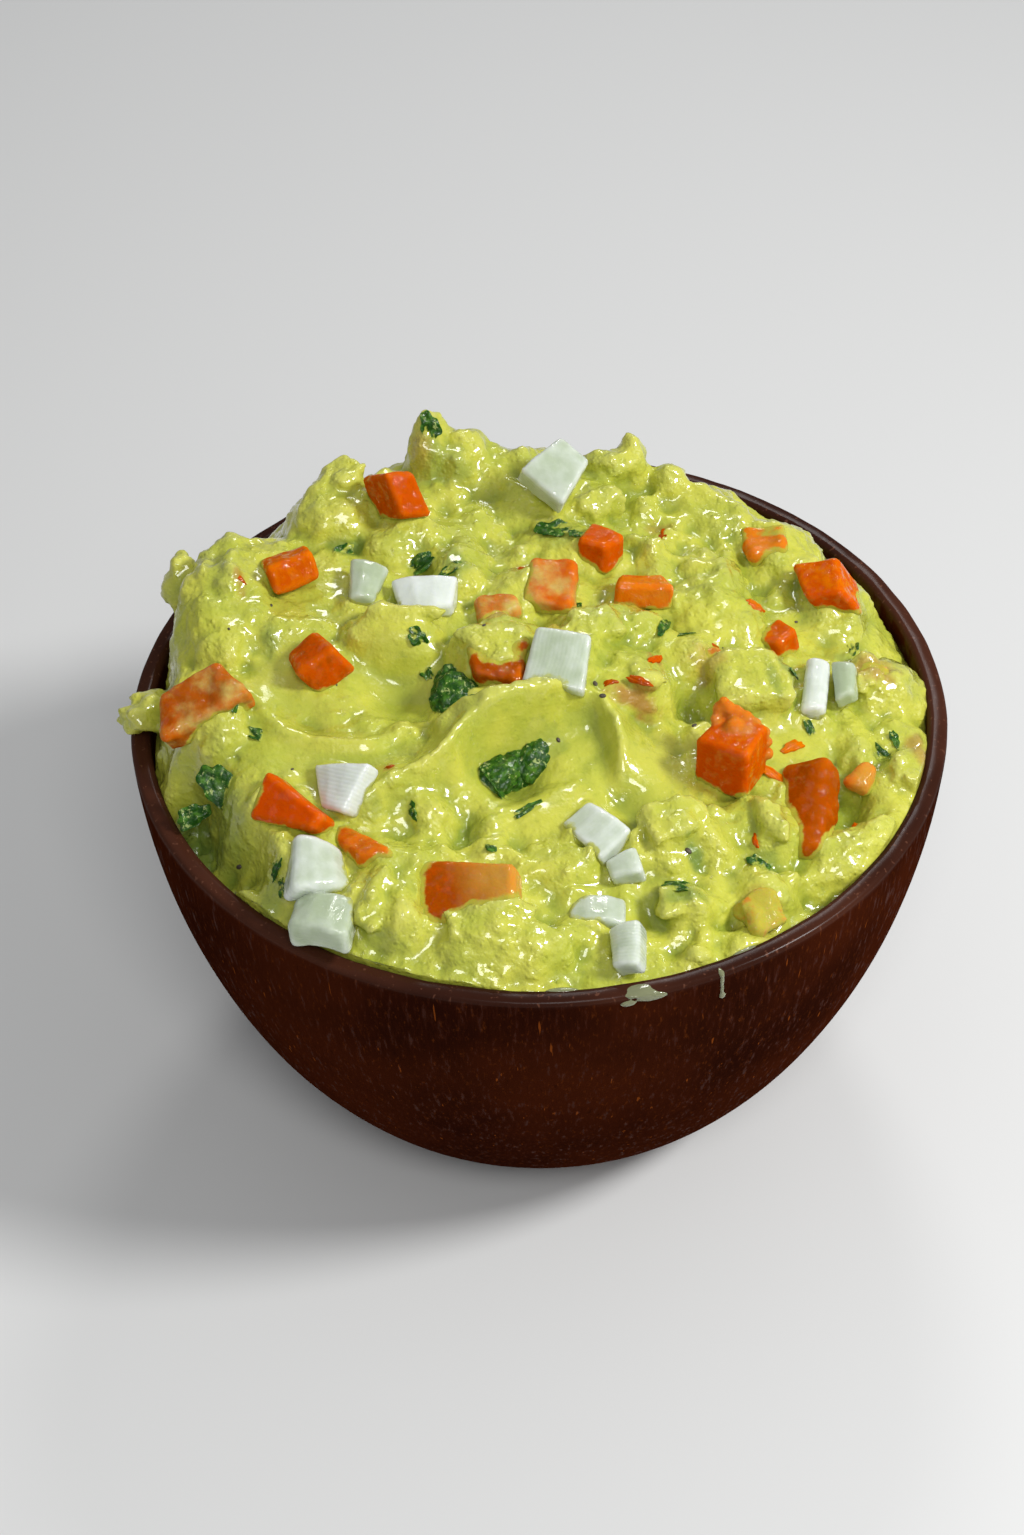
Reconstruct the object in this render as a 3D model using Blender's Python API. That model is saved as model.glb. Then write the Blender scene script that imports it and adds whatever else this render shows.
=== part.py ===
"""A turned wooden bowl heaped with guacamole, with diced tomato and onion lying in the top.

Sizes are in millimetres, and each mesh is scaled to metres as it is made. The origin is the middle of the
bowl's flat foot, with +Z up. Heights of the guacamole are counted from the plane of the rim. The front of
the bowl is -Y.
"""

import bmesh
import bpy
import numpy as np
from math import cos, pi, radians, sin
from mathutils import Matrix

MM = 0.001

# The bowl.
RIM_RADIUS = 62.0
BOWL_HEIGHT = 70.0
FOOT_RADIUS = 27.0
FLOOR_THICKNESS = 7.0
RIM_THICKNESS = 3.0
OUTER_SWELL = 1.15  # above 1 fills the outside out less than a quarter ellipse
INNER_SWELL = 0.83
LIP_ROUNDING = 1.0
BOWL_SEGMENTS = 64

# The toppings.
TOMATO_ROUNDING = 0.6
ONION_ROUNDING = 0.4

# The guacamole.
GAP = 0.3  # between neighbours, all round
INNER_RADIUS = RIM_RADIUS - RIM_THICKNESS
HEAP_REACH = 1.2  # how far the heap bulges over the rim
HEAP_TOP = 45.0
GRID_STEP = 1.2
HEAP_FACES_KEPT = 0.1
BLEND = 1.2  # rounding where two lumps meet
SUNK_EDGE = -7.0  # level beside the wall where the heap stands back from it
EDGE_SLOPE = 6.0
SHOULDER_WIDTH = 8.0

# Where the heap's edge lies, as (degrees from +X, radius, how far the heap falls in the shoulder before it).
# Past the wall means that it touches the wall.
HEAP_EDGE = (
    (0, 58, 1), (20, 55.5, 1), (40, 54.5, 2), (60, 55, 4), (85, 54.5, 5), (110, 54, 5.5), (130, 53.5, 7),
    (145, 53.5, 6.5), (155, 54.5, 4), (165, 56, 0), (175, 54, 0), (185, 53, 1), (196, 57, 3), (208, 54, 3),
    (222, 56, 2), (235, 61, 1), (262, 66, 0), (300, 66, 0), (335, 64, 0), (350, 59, 1),
)

# Spoonfuls in the heap: x, y, half width, half length, turn in degrees, rise above the heap's slope.
SPOONFULS = (
    # The left of the heap, which stands high beside the rim.
    (-47, 9, 7, 12, 5, 3.8), (-44, 18, 8, 6, 25, 2.6), (-32, 30, 7, 8, 35, 4.0), (-38, 4, 7, 6, 0, 1.4),
    (-48, -17, 5.5, 4.5, 20, 2.4), (-41.5, -40, 7.5, 6.5, -30, 4.0), (-44, -29, 5, 4, 0, 1.2),
    # The back, with its peaks.
    (-16.4, 43.2, 3.6, 5.5, -8, 8.6), (-11.2, 42, 5, 5.5, 0, 5.4), (-5, 41, 6, 5.5, 0, 3.2),
    (3, 36, 8, 7, 0, 2.4),
    (15.6, 43, 2.8, 3.8, 0, 6.6), (11, 40.5, 4, 5, 0, 3.0), (21.6, 40.4, 3.4, 4, 0, 4.4),
    (28, 36, 8, 6, -20, 2.4),
    (38, 32, 8, 6.5, -45, 2.6), (46, 18, 6, 9, -20, 2.2), (-20, 22, 7, 6, -10, 2.4), (3, 23, 7, 6, 0, 1.8),
    (-12, 16, 5, 6.5, 0, 2.8), (-3.5, 11.5, 5, 5.5, 0, 2.6), (27, 13, 7, 12, 8, 3.2),
    (19, 20, 4.5, 5, 0, 2.2),
    # The middle, which overhangs the hollow in front of it.
    (-6, -2.5, 7, 6.5, 20, 5.0), (4, -3.5, 8, 7, 0, 5.2), (13, -6, 7, 6.5, -20, 4.8), (10, 4, 9, 5, 10, 3.8),
    (21, 0.5, 6, 5, 0, 3.0), (-22, 0.5, 7.5, 4, -8, 4.2),
    # The right.
    (53, 1, 6, 7, 10, 3.2), (54, -9, 5, 6, 0, 2.8), (53, -18, 6, 8, -15, 2.8), (46, -31.5, 11, 4.5, 38, 3.6),
    (22, -33.5, 8, 5.5, 38, 3.6), (31, -30, 6, 6, 0, 2.8), (31.5, -40.5, 5.5, 4.5, 30, 3.0),
    (20.5, -44.5, 5, 4, 0, 3.0),
    (24, -51.5, 8, 4, 14, 2.2),
    # The front.
    (-6, -52.5, 9, 5, -5, 3.6), (-21, -48.5, 4, 7, -12, 3.4), (1.5, -39, 6, 4, 0, 2.0),
    (-22, -39, 6, 4, -20, 1.6),
)

# Blocks of avocado under the mash: the same, with flatter tops.
BLOCKS = ((32, -5, 7, 6.2, 12, 3.4),)

# Scoops and pits: x, y, half width, half length, turn, depth.
PITS = (
    (-21, -8, 8, 8, 0, 4.4), (-4, -22.5, 6.5, 5.5, 25, 3.6), (-11, -33, 3.2, 3.6, 0, 3.4),
    (23, -8.5, 2.8, 2.2, 0, 4.2),
    (12.5, -28, 3, 8, 35, 2.6), (22, -38.5, 3, 1.8, 0, 2.8), (43.6, -21.5, 2.2, 6.2, -8, 3.8),
    (33, 19, 2.2, 9, 5, 2.4),
    (-18, 18, 3, 4, -20, 2.4), (0, -9.8, 6.5, 2.0, 8, 3.8), (-33, -16, 8, 5, -15, 1.6),
    (9, -46, 9, 3.4, 0, 1.4),
    (-20, -33, 4, 2.4, -30, 2.0), (27, -47, 3, 2, 30, 1.0),
)

# Folds that the spoon left: the crest's points, then rise, half width of the steep side, of the gentle side.
# The steep side is on the left of the crest as it is followed.
FOLDS = (
    (((11, -25), (11.6, -19.5), (10.6, -15.4), (7.8, -12.9), (4, -13.2), (0, -15), (-5, -17), (-9, -19),
      (-12, -21.5), (-14, -24.5), (-17.5, -26.5), (-23, -29.5), (-29, -33)), 3.8, 1.8, 5.0),
    (((-15.5, -19), (-13.5, -16), (-9, -15.8), (-4, -14.4), (0, -12.6), (3, -10.2)), 2.4, 1.3, 4.0),
    (((-16, -16), (-20, -17.5), (-25, -20), (-31, -19.5), (-37, -17.5), (-41, -13), (-44, -7)),
     1.4, 1.6, 3.5),
    (((11.5, -39.5), (13.5, -35.5), (16.5, -31.5), (21, -28.5)), 2.2, 1.4, 4.0),
)

# Lumps that stand free of the heap's top: x, y, height above the rim, half sizes, turn about Z.
LOOSE_LUMPS = (
    (-57.6, -4.6, 3.2, (5.4, 3.4, 2.8), 16),
    (-54.6, 19.5, 8.0, (3.2, 4.4, 4.0), 0),
)

GREEN = (0.62, 0.66, 0.09, 1.0)
DARK_WOOD = (0.09, 0.022, 0.012, 1.0)
TOMATO_RED = (0.72, 0.09, 0.01, 1.0)
ONION_WHITE = (0.72, 0.74, 0.62, 1.0)


def new_material(name, colour, roughness):
    material = bpy.data.materials.new(name)
    material.use_nodes = True
    shader = material.node_tree.nodes["Principled BSDF"]
    shader.inputs["Base Color"].default_value = colour
    shader.inputs["Roughness"].default_value = roughness
    shader.inputs["Metallic"].default_value = 0.0
    material.diffuse_color = colour
    return material


def new_object(name, bm, material=None, place=(0, 0, 0), turn=(0, 0, 0), helper=False):
    """A named object from a bmesh in millimetres, placed in millimetres and turned in degrees.

    A helper only cuts or joins other objects.
    """
    bmesh.ops.recalc_face_normals(bm, faces=bm.faces)
    bmesh.ops.triangulate(bm, faces=bm.faces, quad_method="FIXED", ngon_method="BEAUTY")
    bm.transform(Matrix.Scale(MM, 4))
    mesh = bpy.data.meshes.new(name)
    bm.to_mesh(mesh)
    bm.free()
    obj = bpy.data.objects.new(name, mesh)
    obj.location = [value * MM for value in place]
    obj.rotation_euler = [radians(angle) for angle in turn]
    bpy.context.scene.collection.objects.link(obj)
    if helper:
        obj.hide_render = True
        obj.display_type = "WIRE"
    else:
        mesh.materials.append(material)
        mesh.shade_smooth()
        mesh.set_sharp_from_angle(angle=radians(35))
    return obj


def turned(profile):
    """A closed body of revolution from (radius, height) points that start and end on the axis."""
    bm = bmesh.new()
    points = [bm.verts.new((r, 0, z)) for r, z in profile]
    edges = [bm.edges.new(pair) for pair in zip(points, points[1:])]
    bmesh.ops.spin(
        bm, geom=points + edges, cent=(0, 0, 0), axis=(0, 0, 1), angle=2 * pi, steps=BOWL_SEGMENTS,
        use_merge=True,
    )
    bmesh.ops.remove_doubles(bm, verts=bm.verts, dist=0.001)
    return bm


def outer_curve(rows):
    """(radius, height) from the edge of the foot up to just under the lip."""
    curve = []
    for row in range(rows + 1):
        t = (row / rows) * pi / 2
        radius = FOOT_RADIUS + (RIM_RADIUS - FOOT_RADIUS) * sin(t) ** OUTER_SWELL
        curve.append((radius, BOWL_HEIGHT * (1 - cos(t) ** OUTER_SWELL)))
    curve[-1] = (RIM_RADIUS, BOWL_HEIGHT - LIP_ROUNDING)
    return curve


def inner_curve(rows, inset=0.0):
    """(radius, height) from the inside of the rim down to the axis. The inset takes it into the hollow."""
    curve = []
    for row in range(rows + 1):
        t = (1 - row / rows) * pi / 2
        radius = (INNER_RADIUS - inset) * sin(t) ** INNER_SWELL if row < rows else 0.0
        depth = (BOWL_HEIGHT - FLOOR_THICKNESS - inset) * (cos(t) ** INNER_SWELL if row else 0.0)
        curve.append((radius, BOWL_HEIGHT - depth))
    return curve


def lip_curve(steps=2):
    """The rounded edges of the rim, from the outside to the inside."""
    curve = []
    for side, start in ((1, 0.0), (-1, pi / 2)):
        middle = RIM_RADIUS - LIP_ROUNDING if side > 0 else INNER_RADIUS + LIP_ROUNDING
        for step in range(steps + 1):
            t = start + step / steps * pi / 2
            curve.append((middle + LIP_ROUNDING * cos(t), BOWL_HEIGHT - LIP_ROUNDING + LIP_ROUNDING * sin(t)))
    return curve


def build_bowl(material):
    inside = inner_curve(6)
    inside[0] = (INNER_RADIUS, BOWL_HEIGHT - 3 * LIP_ROUNDING)
    profile = [(0, 0)] + outer_curve(8)[:-1] + lip_curve() + inside
    return new_object("bowl", turned(profile), material)


def soft_max(a, b, rounding=BLEND):
    """The larger of two heights, rounded where they cross."""
    return np.maximum(a, b) + np.maximum(rounding - np.abs(a - b), 0) ** 2 / (4 * rounding)


def slope_of_heap(x, y):
    """Height of the smooth heap: a low dome that leans up towards the back and the left."""
    dome = 5.0 * (1 - (x * x + y * y) / 58**2)
    return 5.5 + 0.10 * y - 0.11 * x + dome


def heap_edge(x, y):
    """The heap's edge in the direction of each point: its radius, and the fall of the shoulder before it."""
    angles = [row[0] for row in HEAP_EDGE] + [360 + HEAP_EDGE[0][0]]
    rows = np.array([row[1:] for row in HEAP_EDGE] + [HEAP_EDGE[0][1:]], float)
    around = np.degrees(np.arctan2(y, x)) % 360
    return np.interp(around, angles, rows[:, 0]), np.interp(around, angles, rows[:, 1])


def ramp(t):
    """From 0 to 1, with no slope at its ends."""
    t = np.clip(t, 0, 1)
    return t * t * (3 - 2 * t)


def in_ellipse(x, y, at_x, at_y, half_width, half_length, turn):
    """Distance from a spoonful's middle, where 1 is its outline."""
    c, s = cos(radians(turn)), sin(radians(turn))
    across = ((x - at_x) * c + (y - at_y) * s) / half_width
    along = (-(x - at_x) * s + (y - at_y) * c) / half_length
    return np.hypot(across, along)


def smooth_path(points, steps=6):
    """Points on a Catmull-Rom curve through the given ones."""
    padded = [points[0], *points, points[-1]]
    path = []
    for a, b, c, d in zip(padded, padded[1:], padded[2:], padded[3:]):
        a, b, c, d = (np.array(p, float) for p in (a, b, c, d))
        for step in range(steps):
            t = step / steps
            bend = (2 * a - 5 * b + 4 * c - d) * t**2 + (3 * b - a - 3 * c + d) * t**3
            path.append(0.5 * (2 * b + (c - a) * t + bend))
    path.append(np.array(points[-1], float))
    return path


def fold_height(x, y, points, rise, steep, gentle):
    """A ridge along a curve, steep on its left and gentle on its right, that dies away at both ends."""
    path = smooth_path(points)
    nearest = np.full(x.shape, np.inf)
    height = np.zeros(x.shape)
    for number, (a, b) in enumerate(zip(path, path[1:])):
        ahead = b - a
        length = np.hypot(*ahead)
        t = np.clip(((x - a[0]) * ahead[0] + (y - a[1]) * ahead[1]) / length**2, 0, 1)
        dx, dy = x - a[0] - t * ahead[0], y - a[1] - t * ahead[1]
        away = np.hypot(dx, dy)
        left = ahead[0] * dy - ahead[1] * dx > 0
        width = np.where(left, steep, gentle)
        share = (number + t) / (len(path) - 1)
        here = rise * np.sin(pi * np.clip(share, 0.0, 1.0)) ** 0.5 * np.exp(-((away / width) ** 2))
        height = np.where(away < nearest, here, height)
        nearest = np.minimum(away, nearest)
    return height


def heap_height(x, y):
    """Height of the guacamole's top above the plane of the rim, in millimetres."""
    x, y = np.asarray(x, float), np.asarray(y, float)
    slope = slope_of_heap(x, y)
    height = slope.copy()
    for *place, rise in SPOONFULS:
        d = in_ellipse(x, y, *place)
        dome = slope_of_heap(place[0], place[1]) - 1.5 + (rise + 1.5) * np.sqrt(np.clip(1.3 - d * d, 0, None))
        height = np.where(d < 1.14, soft_max(height, dome), height)
    for *place, rise in BLOCKS:
        d = in_ellipse(x, y, *place)
        height += rise * np.exp(-(d**6))
    for *place, depth in PITS:
        d = in_ellipse(x, y, *place)
        height -= depth * np.exp(-1.6 * d**2)
    for points, rise, steep, gentle in FOLDS:
        height += fold_height(x, y, points, rise, steep, gentle)
    radius = np.hypot(x, y)
    edge, fall = heap_edge(x, y)
    height -= fall * ramp((radius - edge) / SHOULDER_WIDTH + 1)
    over = ramp((radius - edge) / EDGE_SLOPE)
    return height * (1 - over) + SUNK_EDGE * over


def hollow_of_bowl():
    """The space that the guacamole may fill: the bowl's inside, and above it a wider space over the rim."""
    inside = inner_curve(6, GAP)
    reach = INNER_RADIUS + HEAP_REACH
    above = [(0, BOWL_HEIGHT + HEAP_TOP), (reach, BOWL_HEIGHT + HEAP_TOP)]
    step = [(reach, BOWL_HEIGHT + GAP), (inside[0][0], BOWL_HEIGHT + GAP)]
    return new_object("hollow_of_bowl", turned(above + step + inside), helper=True)


def cut(obj, operation, other):
    modifier = obj.modifiers.new(f"{operation.lower()} {other.name}", "BOOLEAN")
    modifier.operation = operation
    modifier.solver = "EXACT"
    modifier.object = other


def build_guacamole(material, pockets):
    """The heap: a block with a modelled top, trimmed to the bowl's hollow, with a pocket for each topping."""
    half = INNER_RADIUS + HEAP_REACH + GRID_STEP
    steps = round(2 * half / GRID_STEP)
    bm = bmesh.new()
    bmesh.ops.create_grid(bm, x_segments=steps, y_segments=steps, size=half)
    top = list(bm.verts)
    heights = heap_height([v.co.x for v in top], [v.co.y for v in top])
    for vertex, height in zip(top, heights):
        vertex.co.z = BOWL_HEIGHT + height
    skirt = bmesh.ops.extrude_edge_only(bm, edges=[e for e in bm.edges if e.is_boundary])["geom"]
    low = [v for v in skirt if isinstance(v, bmesh.types.BMVert)]
    for vertex in low:
        vertex.co.z = -1.0
    bmesh.ops.contextual_create(bm, geom=[e for e in skirt if isinstance(e, bmesh.types.BMEdge)])
    obj = new_object("guacamole", bm, material)
    fewer = obj.modifiers.new("fewer faces", "DECIMATE")
    fewer.ratio = HEAP_FACES_KEPT
    cut(obj, "INTERSECT", hollow_of_bowl())
    for number, (x, y, height, halves, turn) in enumerate(LOOSE_LUMPS):
        bm = bmesh.new()
        bmesh.ops.create_icosphere(bm, subdivisions=2, radius=1)
        bm.transform(Matrix.Diagonal((*halves, 1)))
        place = (x, y, BOWL_HEIGHT + height)
        lump = new_object(f"loose_lump_{number}", bm, place=place, turn=(0, 0, turn), helper=True)
        cut(obj, "UNION", lump)
    for pocket in pockets:
        cut(obj, "DIFFERENCE", pocket)
    return obj


def cut_piece(size, cut, bend=0.0, room=0.0, rounding=0.0):
    """A hand-cut dice or plate with flat sides, its length along Y.

    The cut says how much narrower it is towards its back, how much shorter towards its right, and how far
    its back and its top are shifted to the right, all as fractions. A bend lifts the middle of its width.
    The room is added on every side.
    """
    narrowing, shortening, skew, lean = cut
    width, length, thickness = (side / 2 + room for side in size)
    bm = bmesh.new()
    bmesh.ops.create_cube(bm, size=2)
    if bend:
        across = [e for e in bm.edges if abs(e.verts[0].co.x - e.verts[1].co.x) > 1]
        bmesh.ops.subdivide_edges(bm, edges=across, cuts=2, use_grid_fill=True)
    for vertex in bm.verts:
        x, y, z = vertex.co
        along = y * length * (1 - shortening * x)
        across = x * width * (1 - narrowing * y) + skew * along + lean * z * thickness
        vertex.co = (across, along, z * thickness + bend * (0.5 - x * x))
    bm.normal_update()
    if bend:
        bmesh.ops.dissolve_limit(bm, angle_limit=radians(1), verts=bm.verts, edges=bm.edges)
    if rounding:
        bmesh.ops.bevel(
            bm, geom=[e for e in bm.edges if e.calc_face_angle(0) > radians(35)], offset=rounding, segments=1,
            profile=0.5, affect="EDGES", clamp_overlap=True, material=-1,
        )
    return bm


# Toppings: x, y, height of the middle above the rim, (width, length, thickness), (turn about X, Y, Z), the
# cut as cut_piece takes it, and for onion the bend.
TOMATOES = (
    (-21.1, 26.9, 18.9, (5.9, 8.2, 7.2), (-38, 16, 26), (-0.04, 0.09, 0.07, -0.35)),
    (-37.3, 12.6, 16.4, (7.7, 6.7, 4.9), (-30, -9, 20), (0, 0.14, 0.03, 0)),
    (-32.5, -5.7, 13.5, (6.4, 7.1, 6.0), (-16, -24, 29), (0.10, -0.12, 0, -0.11)),
    (-35.4, -31.9, 8.3, (11.7, 5.2, 5.0), (37, -5, -39), (-0.06, 0.47, -0.05, 0)),
    (-26.6, -37.2, 6.2, (10.2, 4.0, 3.4), (-5, -10, -50), (-0.33, -0.08, 0, 0)),
    (-10.8, -45.5, 4.4, (14.9, 9.0, 5.0), (17, -15, -4), (0, 0.34, 0.06, 0)),
    (10.0, 20.6, 12.6, (5.8, 5.6, 5.6), (-9, -4, -33), (-0.12, 0.11, -0.05, 0)),
    (16.2, 12.0, 11.2, (8.2, 4.6, 4.4), (-16, 6, 4), (0.15, -0.07, 0, 0)),
    (2.3, 11.1, 12.2, (7.6, 8.8, 7.0), (18, 1, -10), (0.09, -0.05, 0, 0)),
    (-5.9, -6.9, 12.6, (8.3, 7.6, 6.0), (7, -4, -3), (-0.11, -0.25, 0, 0)),
    (36.4, 27.4, 7.2, (6.8, 6.6, 4.0), (3, -10, 2), (-0.12, 0.09, 0, 0)),
    (45.4, 16.5, 7.2, (6.8, 7.4, 6.9), (11, -18, -10), (-0.09, 0, -0.25, -0.25)),
    (36.8, 6.4, 5.4, (5.2, 5.4, 4.6), (9, -17, -52), (0, 0.15, -0.07, 0.09)),
    (27.8, -21.5, 7.9, (8.4, 7.4, 9.4), (0, -8, -33), (0.08, -0.06, 0, 0.13)),
    (38.8, -26.3, 0.8, (7.2, 15.7, 5.0), (16, -26, -16), (-0.06, 0.03, 0, 0)),
    (-49.5, -13.4, 12.8, (12.3, 7.5, 5.0), (13, -19, 21), (0.21, 0, 0.02, 0)),
    (-5.8, 6.2, 12.8, (6.6, 4.6, 3.6), (14, -6, 14), (0.1, 0.2, 0, 0)),
    (30.2, -45.8, -0.4, (5.6, 6.0, 4.4), (24, 6, 30), (0.1, 0.1, 0, 0)),
    (47.4, -19.6, 1.2, (3.4, 4.6, 2.8), (26, 10, -34), (0.2, 0.1, 0, 0)),
    (50.8, 0.9, 3.6, (4.6, 3.0, 3.0), (12, -4, -14), (0.1, 0.2, 0, 0)),
    (26.0, -1.6, 8.6, (3.8, 4.6, 3.4), (16, 0, 24), (0.1, 0.1, 0, 0)),
)
ONIONS = (
    (3.6, 33.0, 18.3, (9.2, 7.4, 4.0), (23, -13, 52), (0, 0.20, 0.06, 0), 0.6),
    (-26.0, 10.9, 14.3, (5.0, 7.6, 3.6), (8, 9, -8), (-0.23, 0.06, 0, 0), 0.8),
    (-16.6, 7.7, 13.9, (8.9, 6.6, 4.3), (15, -8, 3), (-0.16, 0.18, 0, 0), 0.9),
    (2.9, -9.0, 15.8, (8.8, 9.4, 3.0), (23, 1, -14), (0.05, 0, -0.03, 0), 0.4),
    (-28.6, -29.1, 9.9, (7.4, 7.0, 3.5), (34, -21, -30), (-0.38, -0.09, -0.07, 0), 0.5),
    (-32.0, -41.6, 6.2, (7.6, 7.8, 3.8), (14, 24, 10), (0.13, 0.19, 0, 0), 1.0),
    (-31.0, -49.7, 4.2, (8.3, 6.6, 4.0), (-1, -4, -12), (0, -0.11, -0.04, 0), 1.0),
    (7.7, -34.3, 5.4, (8.6, 6.0, 3.5), (16, 2, -49), (0.03, -0.10, 0, 0), 0.5),
    (11.6, -40.2, 3.9, (4.8, 4.1, 3.3), (5, -16, 12), (-0.05, -0.20, 0, 0), 0.3),
    (7.4, -46.4, 0.6, (8.0, 5.0, 4.0), (1, 0, -4), (0, 0, 0, 0), 1.0),
    (11.4, -53.6, 1.6, (4.4, 7.2, 3.4), (8, -24, -4), (-0.09, -0.06, 0, 0), 0.5),
    (41.6, -4.2, 4.9, (3.7, 10.0, 3.5), (9, -3, -10), (0, 0.05, 0, 0), 0.8),
    (46.2, -2.8, 4.9, (3.4, 6.4, 3.2), (16, -18, -7), (-0.13, 0.16, 0, 0), 0.5),
)


def build_toppings(kind, rows, rounding, material):
    """One object for each topping, and for each a pocket with the gap round it, which cuts the guacamole."""
    pockets = []
    for number, (x, y, height, size, turn, *form) in enumerate(rows, start=1):
        place = (x, y, BOWL_HEIGHT + height)
        name = f"{kind}_{number:02d}"
        new_object(name, cut_piece(size, *form, rounding=rounding), material, place, turn)
        pocket = cut_piece(size, *form, room=GAP)
        pockets.append(new_object(f"pocket_{name}", pocket, None, place, turn, helper=True))
    return pockets


def main():
    for obj in list(bpy.data.objects):
        bpy.data.objects.remove(obj)
    build_bowl(new_material("dark_wood", DARK_WOOD, 0.45))
    tomato = new_material("tomato", TOMATO_RED, 0.3)
    onion = new_material("onion", ONION_WHITE, 0.35)
    pockets = build_toppings("tomato", TOMATOES, TOMATO_ROUNDING, tomato)
    pockets += build_toppings("onion", ONIONS, ONION_ROUNDING, onion)
    build_guacamole(new_material("guacamole", GREEN, 0.35), pockets)


main()
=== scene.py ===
"""Guacamole heaped in a turned wooden bowl, with cut tomato, onion and herbs in it, on a pale floor."""

from math import cos, pi, radians, sin

import bmesh
import bpy
import numpy as np
from bpy.props import FloatProperty, FloatVectorProperty, IntProperty
from mathutils import Euler, Matrix, Vector, noise
from mathutils.bvhtree import BVHTree


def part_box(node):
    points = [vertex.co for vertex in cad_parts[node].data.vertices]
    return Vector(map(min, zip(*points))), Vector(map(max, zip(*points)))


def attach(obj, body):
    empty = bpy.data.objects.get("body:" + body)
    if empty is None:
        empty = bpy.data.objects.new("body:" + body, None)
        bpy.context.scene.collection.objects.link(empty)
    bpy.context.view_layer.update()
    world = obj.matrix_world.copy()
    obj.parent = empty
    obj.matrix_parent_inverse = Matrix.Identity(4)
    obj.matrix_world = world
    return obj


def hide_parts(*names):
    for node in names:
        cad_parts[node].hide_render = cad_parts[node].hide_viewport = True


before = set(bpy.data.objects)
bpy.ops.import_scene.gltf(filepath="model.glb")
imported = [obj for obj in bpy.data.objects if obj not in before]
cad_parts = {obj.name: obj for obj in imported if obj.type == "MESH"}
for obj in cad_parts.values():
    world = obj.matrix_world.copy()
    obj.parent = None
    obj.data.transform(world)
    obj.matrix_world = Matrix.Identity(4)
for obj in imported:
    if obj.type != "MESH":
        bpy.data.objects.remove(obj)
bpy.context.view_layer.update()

bl_info = {
    "name": "Bowl of guacamole",
    "version": (1, 0, 0),
    "blender": (4, 5, 0),
    "location": "3D View > Sidebar > Guacamole",
    "description": "Dresses a bowl of guacamole: the wood, the mash, the cut tomato and onion, herbs and juice",
    "category": "Object",
}

# Work is done in millimetres, on the bowl's axis. Heights of the heap are counted from the plane of the rim.
MM = 0.001
BOWL_LOW, BOWL_HIGH = (Vector(corner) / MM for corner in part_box("bowl"))
RIM_RADIUS = (BOWL_HIGH.x - BOWL_LOW.x) / 2
RIM_LEVEL = BOWL_HIGH.z
FOOT_RADIUS = 27.0
WALL = 3.0
FLOOR_THICKNESS = 7.0
INNER_RADIUS = RIM_RADIUS - WALL
OUTER_SWELL = 1.15
INNER_SWELL = 0.83

# The heap, as in the solid: where its edge lies, as (degrees from +X, radius, fall of the shoulder before it).
SUNK_EDGE = -7.0
EDGE_SLOPE = 6.0
SHOULDER_WIDTH = 8.0
HEAP_EDGE = (
    (0, 58, 1), (20, 55.5, 1), (40, 54.5, 2), (60, 55, 4), (85, 54.5, 5), (110, 54, 5.5), (130, 53.5, 7),
    (145, 53.5, 6.5), (155, 54.5, 4), (165, 56, 0), (175, 54, 0), (185, 53, 1), (196, 57, 3), (208, 54, 3),
    (222, 56, 2), (235, 61, 1), (262, 66, 0), (300, 66, 0), (335, 64, 0), (350, 59, 1),
)

# Spoonfuls in the heap: x, y, half width, half length, turn in degrees, rise above the heap's slope.
SPOONFULS = (
    (-47, 9, 7, 12, 5, 3.8), (-44, 18, 8, 6, 25, 2.6), (-32, 30, 7, 8, 35, 4.0), (-38, 4, 7, 6, 0, 1.4),
    (-48, -17, 5.5, 4.5, 20, 2.4), (-41.5, -40, 7.5, 6.5, -30, 4.0), (-44, -29, 5, 4, 0, 1.2),
    (-16.4, 43.2, 3.6, 5.5, -8, 8.6), (-11.2, 42, 5, 5.5, 0, 5.4), (-5, 41, 6, 5.5, 0, 3.2),
    (3, 36, 8, 7, 0, 2.4),
    (15.6, 43, 2.8, 3.8, 0, 6.6), (11, 40.5, 4, 5, 0, 3.0), (21.6, 40.4, 3.4, 4, 0, 4.4),
    (28, 36, 8, 6, -20, 2.4),
    (38, 32, 8, 6.5, -45, 2.6), (46, 18, 6, 9, -20, 2.2), (-20, 22, 7, 6, -10, 2.4), (3, 23, 7, 6, 0, 1.8),
    (-12, 16, 5, 6.5, 0, 2.8), (-3.5, 11.5, 5, 5.5, 0, 2.6), (27, 13, 7, 12, 8, 3.2),
    (19, 20, 4.5, 5, 0, 2.2),
    (-6, -2.5, 7, 6.5, 20, 5.0), (4, -3.5, 8, 7, 0, 5.2), (13, -6, 7, 6.5, -20, 4.8), (10, 4, 9, 5, 10, 3.8),
    (21, 0.5, 6, 5, 0, 3.0), (-22, 0.5, 7.5, 4, -8, 4.2),
    (53, 1, 6, 7, 10, 3.2), (54, -9, 5, 6, 0, 2.8), (53, -18, 6, 8, -15, 2.8), (46, -31.5, 11, 4.5, 38, 3.6),
    (22, -33.5, 8, 5.5, 38, 3.6), (31, -30, 6, 6, 0, 2.8), (31.5, -40.5, 5.5, 4.5, 30, 3.0),
    (20.5, -44.5, 5, 4, 0, 3.0),
    (24, -51.5, 8, 4, 14, 2.2),
    (-6, -52.5, 9, 5, -5, 3.6), (-21, -48.5, 4, 7, -12, 3.4), (1.5, -39, 6, 4, 0, 2.0),
    (-22, -39, 6, 4, -20, 1.6),
)
BLOCKS = ((32, -5, 7, 6.2, 12, 2.4),)
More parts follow.
